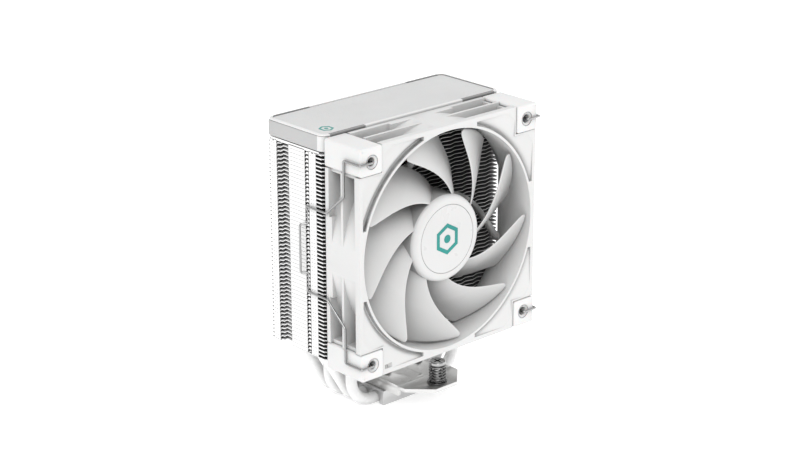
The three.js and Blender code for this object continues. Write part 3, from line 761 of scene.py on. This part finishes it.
def build_crossbar():
    wide, far, top = BAR_HIGH[0], BAR_HIGH[1], BAR_HIGH[2]
    shoulder = far - (wide - EAR_HALF)
    right = [(EAR_HALF, -far), (wide, -shoulder), (wide, shoulder), (EAR_HALF, far)]
    plate = prism(right + mirrored(right), top - BAR_THICKNESS, top)
    lips = []
    for side in (-1, 1):
        xs = span(side, wide, wide - BAR_THICKNESS)
        lips.append(box((xs[0], -LIP_HALF, BAR_LOW[2]), (xs[1], LIP_HALF, top - 0.6)))
    join(plate, lips)
    holes = [cylinder(SCREW_HOLE, top - 3, top + 1, 32, "Z", (0, s * SCREW_Y, 0)) for s in (-1, 1)]
    holes += [cylinder(FIXING_HOLE, top - 3, top + 1, 20, "Z", (p[0], p[1], 0)) for p in FIXINGS]
    holes += [cylinder(DIMPLE, top - 0.7, top + 1, 20, "Z", (0, s * DIMPLE_Y, 0)) for s in (-1, 1)]
    for side in (-1, 1):
        ys = span(side, LIP_HALF - 0.1, LIP_HALF + 0.1)
        holes.append(box((-wide - 1, ys[0], top - 0.1), (wide + 1, ys[1], top + 1)))
    cut(plate, holes)
    bevel(tidy_flats(plate), 0.3, 2)
    finish_piece(plate, "mounting_bar", NICKEL, "crossbar")
    plate.data.materials.append(SHADED_EAR_NICKEL)
    # The ears' top faces take the darker copy of the nickel: painted shade for their darker reflection.
    for polygon in plate.data.polygons:
        if abs(polygon.center.y) > LIP_HALF * MM and polygon.normal.z > 0.9:
            polygon.material_index = 1


def cross_recess(half, width, low, high, centre):
    """Two crossed slots, for a cross-head driver."""
    x, y = centre
    return [box((x - a, y - b, low), (x + a, y + b, high)) for a, b in ((half, width), (width, half))]


def build_fixing_screws():
    head, dome_height = 2.3, 1.3
    for i, (x, y, _) in enumerate(FIXINGS):
        name = f"crossbar_fixing_screw_{i + 1}"
        bottom, top = (corner[2] for corner in cad_box(name))
        seat = top - dome_height
        dome = [(head * math.cos(a), seat + dome_height * math.sin(a)) for a in np.radians(range(0, 90, 10))]
        profile = [(0, bottom), (0.9, bottom), (1.2, bottom + 0.4), (1.2, seat)] + dome + [(0, top)]
        screw = lathe(profile, 32, "Z", (x, y, 0))
        cut(screw, cross_recess(1.25, 0.26, top - 0.9, top + 1, (x, y)))
        shade(screw, 35)
        finish_piece(screw, name + "_head", SCREW_STEEL, name)


# ---- Spring screws ----


def helix_path(turns, radius, low, high, wire, per_turn=28):
    """A compression spring's centreline, with its last turn at each end closed and flat."""
    count = int(turns * per_turn)
    t = np.linspace(0, turns, count + 1)
    closed = 0.45
    share = np.clip((t - closed) / (turns - 2 * closed), 0, 1)
    z = low + (high - low) * share
    z += wire * 0.9 * (np.clip(t / closed, 0, 1) + np.clip((t - turns + closed) / closed, 0, 1) - 1)
    return np.stack([radius * np.cos(TAU * t), radius * np.sin(TAU * t), z], axis=1)


def build_spring_screw(where, side):
    name, body = f"spring_screw_{where}", f"{where}_screw"
    head_low, head_high = cad_box(name)
    y = side * SCREW_Y
    top, r = head_high[2], head_high[0]
    base, fillet = top - 2.1, 0.75
    profile = [(0, head_low[2]), (1.4, head_low[2]), (2.0, head_low[2] + 0.7), (2.0, base)]
    profile += [(r - 0.4, base), (r, base + 0.35), (r, top - fillet)]
    profile += [(r - fillet + fillet * math.cos(a), top - fillet + fillet * math.sin(a))
                for a in np.radians((22, 45, 68, 90))]
    profile += [(r - 1.5, top - 0.25), (0, top - 0.25)]
    screw = lathe(profile, 48, "Z", (0, y, 0))
    cut(screw, [ring(1.5, 3, BAR_LOW[2] + 2.4, BAR_LOW[2] + 3.1, 24, "Z", (0, y, 0))])
    cut(screw, cross_recess(2.3, 0.45, top - 1.7, top + 1, (0, y)))
    shade(screw, 35)
    # The head takes the lighter copy of the black nickel: a painted highlight.
    finish_piece(screw, f"screw_{where}", LIT_HEAD_NICKEL, name, body=body, slot="black_nickel")
    name = f"screw_spring_{where}"
    low, high = cad_box(name)
    wire = 0.5
    path = helix_path(4.5, high[0] - wire, low[2] + wire * 2, high[2] - wire * 2, wire)
    spring = tube(path + (0, y, 0), wire, 12)
    finish_piece(spring, f"coil_spring_{where}", BLACK_NICKEL, name)
    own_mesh(spring)
    for name, rides_on, material, slot in (
        (f"seat_washer_{where}", "heatsink", BLACK_NICKEL, "screw_steel"),
        (f"thrust_washer_{where}", f"{where}_press", SCREW_STEEL, "screw_steel"),
        (f"screw_retainer_{where}", body, SPRING_STEEL, "spring_steel"),
    ):
        low, high = cad_box(name)
        inner = 1.8 if "retainer" in name else 2.5
        washer = ring(inner, high[0], low[2], high[2], 48, "Z", (0, y, 0))
        if "retainer" in name:
            cut(washer, [box((-1.2, y, low[2] - 1), (1.2, y + 6, high[2] + 1))])
        bevel(washer, 0.1, 2)
        finish_piece(washer, name + "_turned", material, name, body=rides_on, slot=slot)


# ---- Top cover ----

COVER_ROUND = 4.5
BADGE_LIFT = 0.05
COVER_TOP = COVER_HIGH[2] - BADGE_LIFT
TRIM_REACH = 27.0
TRIM_WIDTH = 1.5
TRIM_DEPTH = 1.4
RIM_WIDTH = 1.7
PANEL_TOP = COVER_TOP - 0.35
EMBLEM = (-50, -12.6)  # X and Y of the cover's emblem
EMBLEM_CLEAR = 5.2  # radius round it that has no grid


def cover_loop(inset, steps=8):
    return rounded_rectangle(
        COVER_LOW[0] + inset, COVER_HIGH[0] - inset, COVER_LOW[1] + inset, COVER_HIGH[1] - inset,
        COVER_ROUND - inset, steps,
    )


def end_strip(inset_out, inset_in, low, high, side, end):
    """The part of a ring between two insets that lies beyond |x| = end, round one end."""
    strip = prism(cover_loop(inset_out, 12), low, high)
    cut(strip, [prism(cover_loop(inset_in, 12), low - 1, high + 1)])
    xs = span(side, end, SIDE + 1)
    return keep(strip, [box((xs[0], COVER_LOW[1] - 1, low - 1), (xs[1], COVER_HIGH[1] + 1, high + 1))])


def end_panel(side, grow):
    """The flat insert in the cover's end face. grow widens it, for the hollow that it sits in."""
    xs = span(side, SIDE + grow, SIDE - 0.6 - grow)
    ys = (COVER_LOW[1] + 4.9 - grow, COVER_HIGH[1] - 2.2 + grow)
    return box((xs[0], ys[0], COVER_LOW[2] + 0.1 - grow), (xs[1], ys[1], COVER_TOP - 1.0 + grow))


def build_cover():
    shell = prism(cover_loop(0, 12), COVER_LOW[2], COVER_TOP)
    bevel(shell, 0.45, 3)
    cut(shell, [prism(cover_loop(2.6), COVER_LOW[2] - 1, COVER_TOP - 2.6)])
    cut(shell, [prism(cover_loop(RIM_WIDTH, 12), PANEL_TOP, COVER_TOP + 1)])
    strip_low = COVER_TOP - TRIM_DEPTH
    arm_start, arm_end = SIDE - TRIM_REACH, SIDE - COVER_ROUND
    line = (COVER_TOP - 1.0, COVER_TOP - 0.75)  # the groove round each end, low and high
    gap = 0.15
    for side in (-1, 1):
        seat = end_strip(-0.5, TRIM_WIDTH + gap, strip_low - 0.2, COVER_TOP + 1, side, arm_start - gap)
        groove = end_strip(-0.5, 0.4, *line, side, arm_start)
        cut(seat, [past(side, arm_end + gap)])
        cut(shell, [seat, groove, end_panel(side, 0.05)])
    shade(tidy_flats(shell), 35)
    finish_piece(shell, "cover_shell", COVER_WHITE, "top_cover")
    for side, where in ((-1, "left"), (1, "right")):
        arms = end_strip(0.05, TRIM_WIDTH, strip_low, COVER_TOP - 0.05, side, arm_start)
        cut(arms, [past(side, arm_end)])
        bevel(tidy_flats(arms), 0.25, 2)
        name = f"cover_trim_{where}"
        finish_piece(arms, name + "_arms", TRIM_GREY, name)
        # Near-black linings: painted shade at the back of the groove, at the bottom of the gap round the
        # trim arms and on the rim's inner wall at each end.
        shaded_gaps = end_strip(0.35, 0.9, line[0] - 0.1, line[1] + 0.1, side, arm_start)
        join(shaded_gaps, [end_strip(0.6, 1.4, strip_low - 0.15, strip_low + 0.3, side, arm_start)])
        inner = (RIM_WIDTH - 0.25, RIM_WIDTH + 0.1, PANEL_TOP - 0.1, COVER_TOP - 0.06)
        join(shaded_gaps, [end_strip(*inner, side, arm_start)])
        finish_piece(shaded_gaps, name + "_liner", TRIM_SHADE, slot="trim_plastic")
        panel = bevel(end_panel(side, 0), 0.12, 2)
        finish_piece(panel, f"cover_end_{where}", COVER_END, slot="cover_plastic")
    build_cover_grid()
    badge = hexagon_badge(3.9, 1.1, 0.25)
    moved(badge, (*EMBLEM, PANEL_TOP - 0.15))
    finish_piece(badge, "cover_emblem", TEAL, slot="cover_plastic")


def past(side, x):
    """A box over the cover's whole depth and height, from x outward on one side."""
    low, high = span(side, x, SIDE + 2)
    return box((low, COVER_LOW[1] - 2, COVER_LOW[2] - 2), (high, COVER_HIGH[1] + 2, COVER_HIGH[2] + 2))


def build_cover_grid():
    """The grid of fine raised squares on the cover's flat top."""
    pitch, tile, lift = 1.25, 0.95, 0.045
    inset = RIM_WIDTH + 0.5
    nx = int((2 * (SIDE - inset)) // pitch)
    ny = int((COVER_HIGH[1] - COVER_LOW[1] - 2 * inset) // pitch)
    middle = (COVER_LOW[1] + COVER_HIGH[1]) / 2
    verts, faces = [], []
    low, high = PANEL_TOP - 0.02, PANEL_TOP + lift
    for i in range(nx):
        for j in range(ny):
            x = (i - (nx - 1) / 2) * pitch
            y = middle + (j - (ny - 1) / 2) * pitch
            corner = abs(x) > SIDE - 5 and abs(y - middle) > (COVER_HIGH[1] - COVER_LOW[1]) / 2 - 5
            if corner or math.hypot(x - EMBLEM[0], y - EMBLEM[1]) < EMBLEM_CLEAR:
                continue
            start = len(verts)
            for z, half in ((low, tile / 2), (high, tile / 2 - lift)):
                verts += [(x - half, y - half, z), (x + half, y - half, z)]
                verts += [(x + half, y + half, z), (x - half, y + half, z)]
            faces += [[start + v for v in face] for face in ring_faces(8, 4)]
    grid = mesh("grid", verts, faces)
    finish_piece(grid, "cover_grid", COVER_PANEL, slot="cover_plastic")
    sheet = prism(cover_loop(RIM_WIDTH + 0.1, 12), PANEL_TOP - 0.3, PANEL_TOP + 0.012)
    finish_piece(sheet, "cover_panel", COVER_PANEL, slot="cover_plastic")


def hexagon_badge(radius, stroke, thickness):
    """A plain hexagonal ring with a dot, lying flat in X and Y."""
    outer = arc(0, 0, radius, 30, 330, 5)
    inner = arc(0, 0, radius - stroke, 30, 330, 5)
    badge = prism(outer, 0, thickness)
    cut(badge, [prism(inner, -1, thickness + 1)])
    dot = cylinder(stroke * 0.95, 0, thickness, 32)
    return shade(merge("badge", [badge, dot]), 30)


# ---- Fan frame ----

CORNERS = {"top_left": (-1, 1), "top_right": (1, 1), "bottom_right": (1, -1), "bottom_left": (-1, -1)}
FRONT_FLANGE = 3.5
REAR_FLANGE = 2.5
RIB = (12.0, 13.6)
RIM_OUTER = 58.6
POST_OUTER = HALF - 1.8
MOUNT_RADIUS = 22.5
MOUNT_SPAN = (21.5, 24.3)
FLARE_RADIUS, FLARE_HALF = 61.5, 58.3  # the outlet widens to this radius, inside this square
DUCT_SIDES = 160


def corner_box(signs, inner, outer, low, high):
    xs, zs = (span(sign, inner, outer) for sign in signs)
    return box((xs[0], low, zs[0]), (xs[1], high, zs[1]))


def web_hollow():
    """The sunk webs in the four corners: a gutter round the rim that rises towards the pads.

    It stays inside the frame's lip and clear of a border round each pad."""
    profile = [(RIM_OUTER, -1), (RIM_OUTER, 2.2), (RIM_OUTER + 0.2, 2.7), (RIM_OUTER + 0.6, 2.9)]
    profile += [(RIM_OUTER + r, y) for r, y in ((1.1, 2.6), (1.7, 1.9), (2.4, 1.25), (3.2, 0.85))]
    profile += [(RIM_OUTER + r, y) for r, y in ((4.4, 0.6), (7.5, 0.35), (11, 0.05), (11, -1))]
    hollow = lathe(profile[::-1], DUCT_SIDES, "Y")
    face_out(hollow)
    lip = HALF - 2.2
    keep(hollow, [box((-lip, -2, -lip), (lip, 6, lip))])
    border = PAD_INNER - 1.1
    cut(hollow, [corner_box(c, border, HALF + 1, -3, 7) for c in CORNERS.values()])
    reach = 18.0
    cut(hollow, [box((-HALF, -3, -reach), (HALF, 7, reach)), box((-reach, -3, -HALF), (reach, 7, HALF))])
    return hollow


def strut_turn(s):
    """How far round a strut has come at a share s of its length."""
    return math.radians(-17.5 + 62 * (1 - s) ** 1.5)


def strut(index):
    """A guide vane from the motor mount out to the duct, with rounded edges."""
    inner, outer = MOUNT_RADIUS - 2, DUCT_RADIUS + 1
    section = arc(0, 0, 1, 0, 345, 23)
    half, middle = 2.2, 22.7
    verts = []
    for s in np.arange(17) / 16:
        r = inner + (outer - inner) * s
        a = strut_turn(s) + index * math.pi / 2
        for u, v in section:
            across = half * u
            y = middle + half * math.copysign(abs(v) ** 0.8, v)
            verts.append((r * math.cos(a) - across * math.sin(a), y, r * math.sin(a) + across * math.cos(a)))
    return face_out(loft(verts, len(section)))


def build_fan_frame():
    shell = cylinder(HALF + 0.5, 0, DEPTH, DUCT_SIDES, "Y")
    plates = [(0, FRONT_FLANGE), RIB, (DEPTH - REAR_FLANGE, DEPTH)]
    join(shell, [box((-HALF, a, -HALF), (HALF, b, HALF)) for a, b in plates])
    bridges = []
    for side in (-1, 1):
        across = span(side, 56.5, HALF)
        bridges.append(box((across[0], 20.4, -21), (across[1], DEPTH, 21)))
        bridges.append(box((-21, 20.4, across[0]), (21, DEPTH, across[1])))
    join(shell, bridges)
    keep(shell, [box((-HALF, -1, -HALF), (HALF, DEPTH + 1, HALF))])
    cut(shell, [corner_box(c, PAD_INNER - GAP, HALF + 1, -2, DEPTH + 2) for c in CORNERS.values()])
    low, high = PAD_FRONT + 1.8, PAD_REAR - 1.8
    join(shell, [corner_box(c, PAD_INNER - 2, POST_OUTER, low, high) for c in CORNERS.values()])
    cut(shell, [web_hollow()])
    bore = cylinder(DUCT_RADIUS, -1, DEPTH + 1, DUCT_SIDES, "Y")
    profile = [(0, 16), (DUCT_RADIUS, 16), (FLARE_RADIUS, DEPTH + 0.01), (FLARE_RADIUS, 30), (0, 30)]
    flare = lathe(profile, DUCT_SIDES, "Y")
    keep(flare, [box((-FLARE_HALF, 10, -FLARE_HALF), (FLARE_HALF, 40, FLARE_HALF))])
    holes = [cylinder(HOLE_RADIUS, -2, DEPTH + 2, 32, "Y", (sx * HOLE, 0, sz * HOLE))
             for sx, sz in CORNERS.values()]
    cut(shell, [bore, flare, *holes])
    bevel(tidy_flats(shell), 0.28, 2, 40)
    finish_piece(in_fan(shell), "fan_housing", FRAME_WHITE, "fan_frame")
    rim_lip = lathe(
        [(DUCT_RADIUS - 0.02, 0.9), (DUCT_RADIUS + 0.2, 0.02), (RIM_OUTER - 0.35, 0.02), (RIM_OUTER, 0.5),
         (RIM_OUTER, 2.4), (DUCT_RADIUS + 0.3, 2.4)],
        DUCT_SIDES, "Y", FAN, smooth=50,
    )
    finish_piece(rim_lip, "fan_rim", FRAME_WHITE)
    build_motor_mount()
    build_frame_mark()


def build_motor_mount():
    mount = lathe(
        [(4.4, 8.2), (5.2, 8.2), (5.2, 20.9), (7, MOUNT_SPAN[0]), (MOUNT_RADIUS - 0.6, MOUNT_SPAN[0]),
         (MOUNT_RADIUS, MOUNT_SPAN[0] + 0.6), (MOUNT_RADIUS, 24.6), (MOUNT_RADIUS - 0.4, 25),
         (20.2, 25), (19.8, 24.7), (19.8, MOUNT_SPAN[1]), (4.4, MOUNT_SPAN[1])],
        96, "Y",
    )
    join(mount, [strut(i) for i in range(4)])
    shade(mount, 40)
    finish_piece(in_fan(mount), "motor_mount", FRAME_WHITE)


def build_frame_mark():
    """A plain printed bar on the frame's lower left web."""
    mark = box((-44.0, 0.0, -57.2), (-39.4, 0.2, -55.0))
    slots = [box((-43.2 + i * 1.15, -0.2, -56.9), (-42.9 + i * 1.15, 0.3, -55.3)) for i in range(3)]
    cut(mark, slots)
    finish_piece(in_fan(mark), "frame_mark", MARK_GREY, slot="frame_plastic")


def build_pads():
    low, high = PAD_FRONT, PAD_REAR
    for degrees, where in zip((90, 0, -90, 180), CORNERS):
        outline = rounded_rectangle(PAD_INNER, HALF, PAD_INNER, HALF, 1.3, 6)
        cap = prism([(z, x) for z, x in outline], low, high, "Y")
        bevel(cap, 0.7, 3)
        near, reach = PAD_INNER - 3, POST_OUTER + GAP
        pocket = box((near, low + 1.5, near), (reach, high - 1.5, reach))
        ring_groove = ring(3.25, 3.75, low - 1, low + 0.45, 48, "Y", (HOLE, 0, HOLE))
        hole = cylinder(HOLE_RADIUS, low - 1, high + 1, 40, "Y", (HOLE, 0, HOLE))
        funnel = [(0, low - 1), (3.2, low - 1), (3.2, low + 0.05), (HOLE_RADIUS, low + 0.75)]
        mouth = lathe(funnel + [(0, low + 0.75)], 40, "Y", (HOLE, 0, HOLE))
        cut(cap, [pocket, ring_groove, hole, mouth])
        shade(cap, 40)
        dots = []
        profile = [(0, low - 0.08), (0.2, low - 0.02), (0.26, low + 0.2), (0, low + 0.2)]
        edge = HALF - 1.6
        for step in (0, 1, 2):
            for x, z in ((edge - step, edge), (edge, edge - step)):
                dots.append(lathe(profile, 10, "Y", (x, 0, z)))
        pad = merge("pad", [cap, *dots])
        moved(pad, turn=about("Y", degrees))
        name = f"fan_pad_{where}"
        finish_piece(in_fan(pad), name + "_rubber", PAD_WHITE, name)


# ---- Rotor ----

HUB_RADIUS = 22.7
HUB_FRONT = 2.0
HUB_ROOF = 2.9
HUB_REAR = 19.2
HUB_ROUND = 3.2
HUB_WALL = 1.4
LABEL_RADIUS = 17.8
TIP_RADIUS = 56.3
HUB_SIDES = 128
BLADE_COUNT = 9


def blade_point(u, v, w):
    """Share u along the chord, v out from the hub and w through the blade."""
    r = HUB_RADIUS - 0.8 + (TIP_RADIUS - HUB_RADIUS + 0.8) * v
    lead = 0.8 - 44.3 * (1 - v) ** 1.5
    chord = 38 - 4 * v
    a = math.radians(lead - chord * u)
    front = 4.4 - 2.2 * v
    rear = 18.2 - 2.6 * v
    thickness = 0.8 + 1.1 * math.sin(math.pi * min(u * 1.2, 1))
    edge = math.sqrt(max(0.0, 1 - (1 - min(u / 0.05, (1 - u) / 0.05, (1 - v) / 0.03, 1)) ** 2))
    y = front + (rear - front) * u ** 1.15 + w * thickness * edge
    return r * math.cos(a), y, r * math.sin(a)


def rounded_tip(u, v):
    """Draws the chord in near the tip, which rounds the blade's outer corners."""
    start = 0.9
    if v <= start:
        return u
    s = (v - start) / (1 - start)
    trim = 1 - math.sqrt(max(0.0, 1 - s * s))
    lead_trim, rear_trim = 0.11 * trim, 0.08 * trim
    return lead_trim + u * (1 - lead_trim - rear_trim)


def one_blade(name):
    chord_steps, span_steps = 34, 40
    us = [0.5 - 0.5 * math.cos(math.pi * i / chord_steps) for i in range(chord_steps + 1)]
    vs = [1 - (1 - j / span_steps) ** 1.35 for j in range(span_steps + 1)]
    verts, faces = [], []
    for w in (-0.5, 0.5):
        for v in vs:
            for u in us:
                verts.append(blade_point(rounded_tip(u, v), v, w))
    row = chord_steps + 1
    sheet = row * (span_steps + 1)
    for j in range(span_steps):
        for i in range(chord_steps):
            a = j * row + i
            faces.append((a, a + 1, a + row + 1, a + row))
            b = a + sheet
            faces.append((b, b + row, b + row + 1, b + 1))
    border = list(range(row))
    border += [j * row + chord_steps for j in range(1, span_steps + 1)]
    border += [span_steps * row + i for i in range(chord_steps - 1, -1, -1)]
    border += [j * row for j in range(span_steps - 1, 0, -1)]
    for a, b in zip(border, border[1:] + border[:1]):
        faces.append((b, a, a + sheet, b + sheet))
    return shade(face_out(mesh(name, verts, faces, 60), WELD), 60)


def build_impeller():
    front, inner = HUB_FRONT, HUB_RADIUS - HUB_WALL
    nose = arc(HUB_RADIUS - HUB_ROUND, front + HUB_ROUND, HUB_ROUND, -90, 0, 14)
    profile = [(0, front + 0.5), (LABEL_RADIUS + 0.2, front + 0.5), (LABEL_RADIUS + 0.2, front + 0.08)]
    profile += [(LABEL_RADIUS + 0.32, front)] + nose
    profile += [(HUB_RADIUS, HUB_REAR - 0.3), (HUB_RADIUS - 0.3, HUB_REAR), (inner + 0.2, HUB_REAR)]
    profile += [(inner, HUB_REAR - 0.2), (inner, front + HUB_ROUND + 1.2), (inner - 3.2, front + HUB_ROOF)]
    profile += [(4, front + HUB_ROOF), (4, front + 5.2), (1.9, front + 5.2)]
    profile += [(1.9, front + HUB_ROOF - 0.4), (0, front + HUB_ROOF - 0.4)]
    hub = lathe(profile, HUB_SIDES, "Y", FAN, smooth=32)
    finish_piece(hub, "hub", HUB_WHITE, "impeller", body="rotor", slot="blade_plastic")
    # A thin dark sheet over the hub's whole side: painted shade for the grey band round it.
    low, high = front + HUB_ROUND - 0.4, HUB_REAR - 0.3
    skirt = ring(HUB_RADIUS - 0.3, HUB_RADIUS + 0.03, low, high, HUB_SIDES, "Y", FAN)
    shade(skirt, 40)
    finish_piece(skirt, "hub_shaded_side", HUB_SIDE_SHADE, body="rotor", slot="blade_plastic")
    for i in range(BLADE_COUNT):
        blade = one_blade(f"blade_{i + 1}")
        moved(blade, turn=about("Y", 360 / BLADE_COUNT * i))
        finish_piece(in_fan(blade), f"blade_{i + 1}", BLADE_GREY, body="rotor")
    label = lathe(
        [(0, front + 0.02), (LABEL_RADIUS - 0.1, front + 0.02), (LABEL_RADIUS, front + 0.1),
         (LABEL_RADIUS, front + 0.4), (0, front + 0.4)], HUB_SIDES, "Y", FAN, smooth=30,
    )
    finish_piece(label, "hub_disc", LABEL_WHITE, "hub_label", body="rotor")
    badge = hexagon_badge(8.3, 2.3, 0.1)
    moved(badge, (0, front + 0.06, 0), about("X", 90))
    finish_piece(in_fan(badge), "hub_emblem", TEAL, body="rotor", slot="label_film")


# ---- Wire clips ----


def build_clips():
    out, seated, groove = 61.0, 59.75, 38.75
    upper = [
        (HOLE, 1.6, HOLE), (HOLE, -1.8, HOLE), (out, -1.8, HOLE), (out, 10.2, HOLE), (out, 10.2, 34),
        (out, 23.5, 22.5), (out, groove, 22.5), (seated, groove, 19.5), (seated, groove, 13),
        (62.83, 41.4, 12.6),
    ]
    route = upper + [(x, y, -z) for x, y, z in reversed(upper)]
    for side, where in ((-1, "left"), (1, "right")):
        path = bent_path([(side * x, y, z) for x, y, z in route], 1.0, 6)
        wire = tube(path + FAN, 0.56, 16)
        name = f"fan_clip_{where}"
        finish_piece(wire, name + "_wire", WIRE, name, body=f"clip_{where}")


# ---- CAD nodes that keep their shape ----


def paint_cad_nodes():
    looks = {
        "rotor_yoke": YOKE_STEEL, "rotor_magnet": MAGNET, "rotor_shaft": SHAFT_STEEL,
        "shaft_clip": SPRING_STEEL, "bearing_sleeve": BRASS, "stator_core": STATOR_STEEL,
        "motor_board": BOARD, "motor_label": LABEL_WHITE,
    }
    looks.update({f"stator_coil_{i}": COPPER for i in range(1, 5)})
    for name, material in looks.items():
        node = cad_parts[name]
        node.data.materials.clear()
        node.data.materials.append(material)


# ---- Stage ----


def add_lamp(name, kind, energy, back, place=(0, 0, 0)):
    """A lamp at a place in millimetres that shines away from the direction back."""
    light = bpy.data.lights.new(name, kind)
    light.energy = energy
    lamp = placed(name, light)
    lamp.location = Vector(place) * MM
    lamp.rotation_euler = Vector(back).to_track_quat("Z", "Y").to_euler()
    return light


def build_stage():
    corners = [(4000 * x, 4000 * y, -0.02) for x, y in ((-1, -1), (1, -1), (1, 1), (-1, 1))]
    floor = mesh("floor", corners, [(0, 1, 2, 3)])
    n = Nodes("floor")
    n.link(n.ramp(n.noise(3, 2), grey(0.76), grey(0.78)), n.shader.inputs["Base Color"])
    n.gloss(n.noise(8, 2), (0.75, 0.85))
    n.set(Emission_Color=(1, 1, 1, 1), Emission_Strength=0.5)
    floor.data.materials.append(n.material)
    world = bpy.data.worlds.new("studio")
    bpy.context.scene.world = world
    world.use_nodes = True
    background = world.node_tree.nodes["Background"]
    background.inputs["Color"].default_value = (1, 1, 1, 1)
    background.inputs["Strength"].default_value = 1.0
    add_lamp("key", "SUN", 1.4, (-0.5, -0.5, 0.7)).angle = math.radians(40)
    side = add_lamp("side", "AREA", 1.1, (0.7, -0.46, 0.09), (700, -500, 180))
    side.shape = "SQUARE"
    side.size = 0.6
    bpy.context.scene.view_settings.view_transform = "Standard"


def build_camera():
    """The photo's camera, solved from the fan's corners and holes."""
    azimuth, elevation, roll = map(math.radians, (-42.34, 19.98, -0.10))
    back = Vector((
        math.sin(azimuth) * math.cos(elevation), -math.cos(azimuth) * math.cos(elevation),
        math.sin(elevation),
    ))
    right = Vector((0, 0, 1)).cross(back).normalized()
    up = back.cross(right)
    level = Matrix((right, up, back)).transposed().to_4x4()
    data = bpy.data.cameras.new("camera")
    data.sensor_width = 36
    data.lens = 94.84
    camera = placed("camera", data)
    place = Matrix.Translation(Vector((-684.14, -761.65, 455.48)) * MM)
    camera.matrix_world = place @ level @ Matrix.Rotation(roll, 4, "Z")
    bpy.context.scene.camera = camera


build_camera()
build_stage()
build_fins()
build_bands()
build_collars()
build_pipes()
build_base()
build_crossbar()
build_fixing_screws()
for place_name, place_side in (("front", -1), ("rear", 1)):
    build_spring_screw(place_name, place_side)
build_cover()
build_fan_frame()
build_pads()
build_impeller()
build_clips()
paint_cad_nodes()
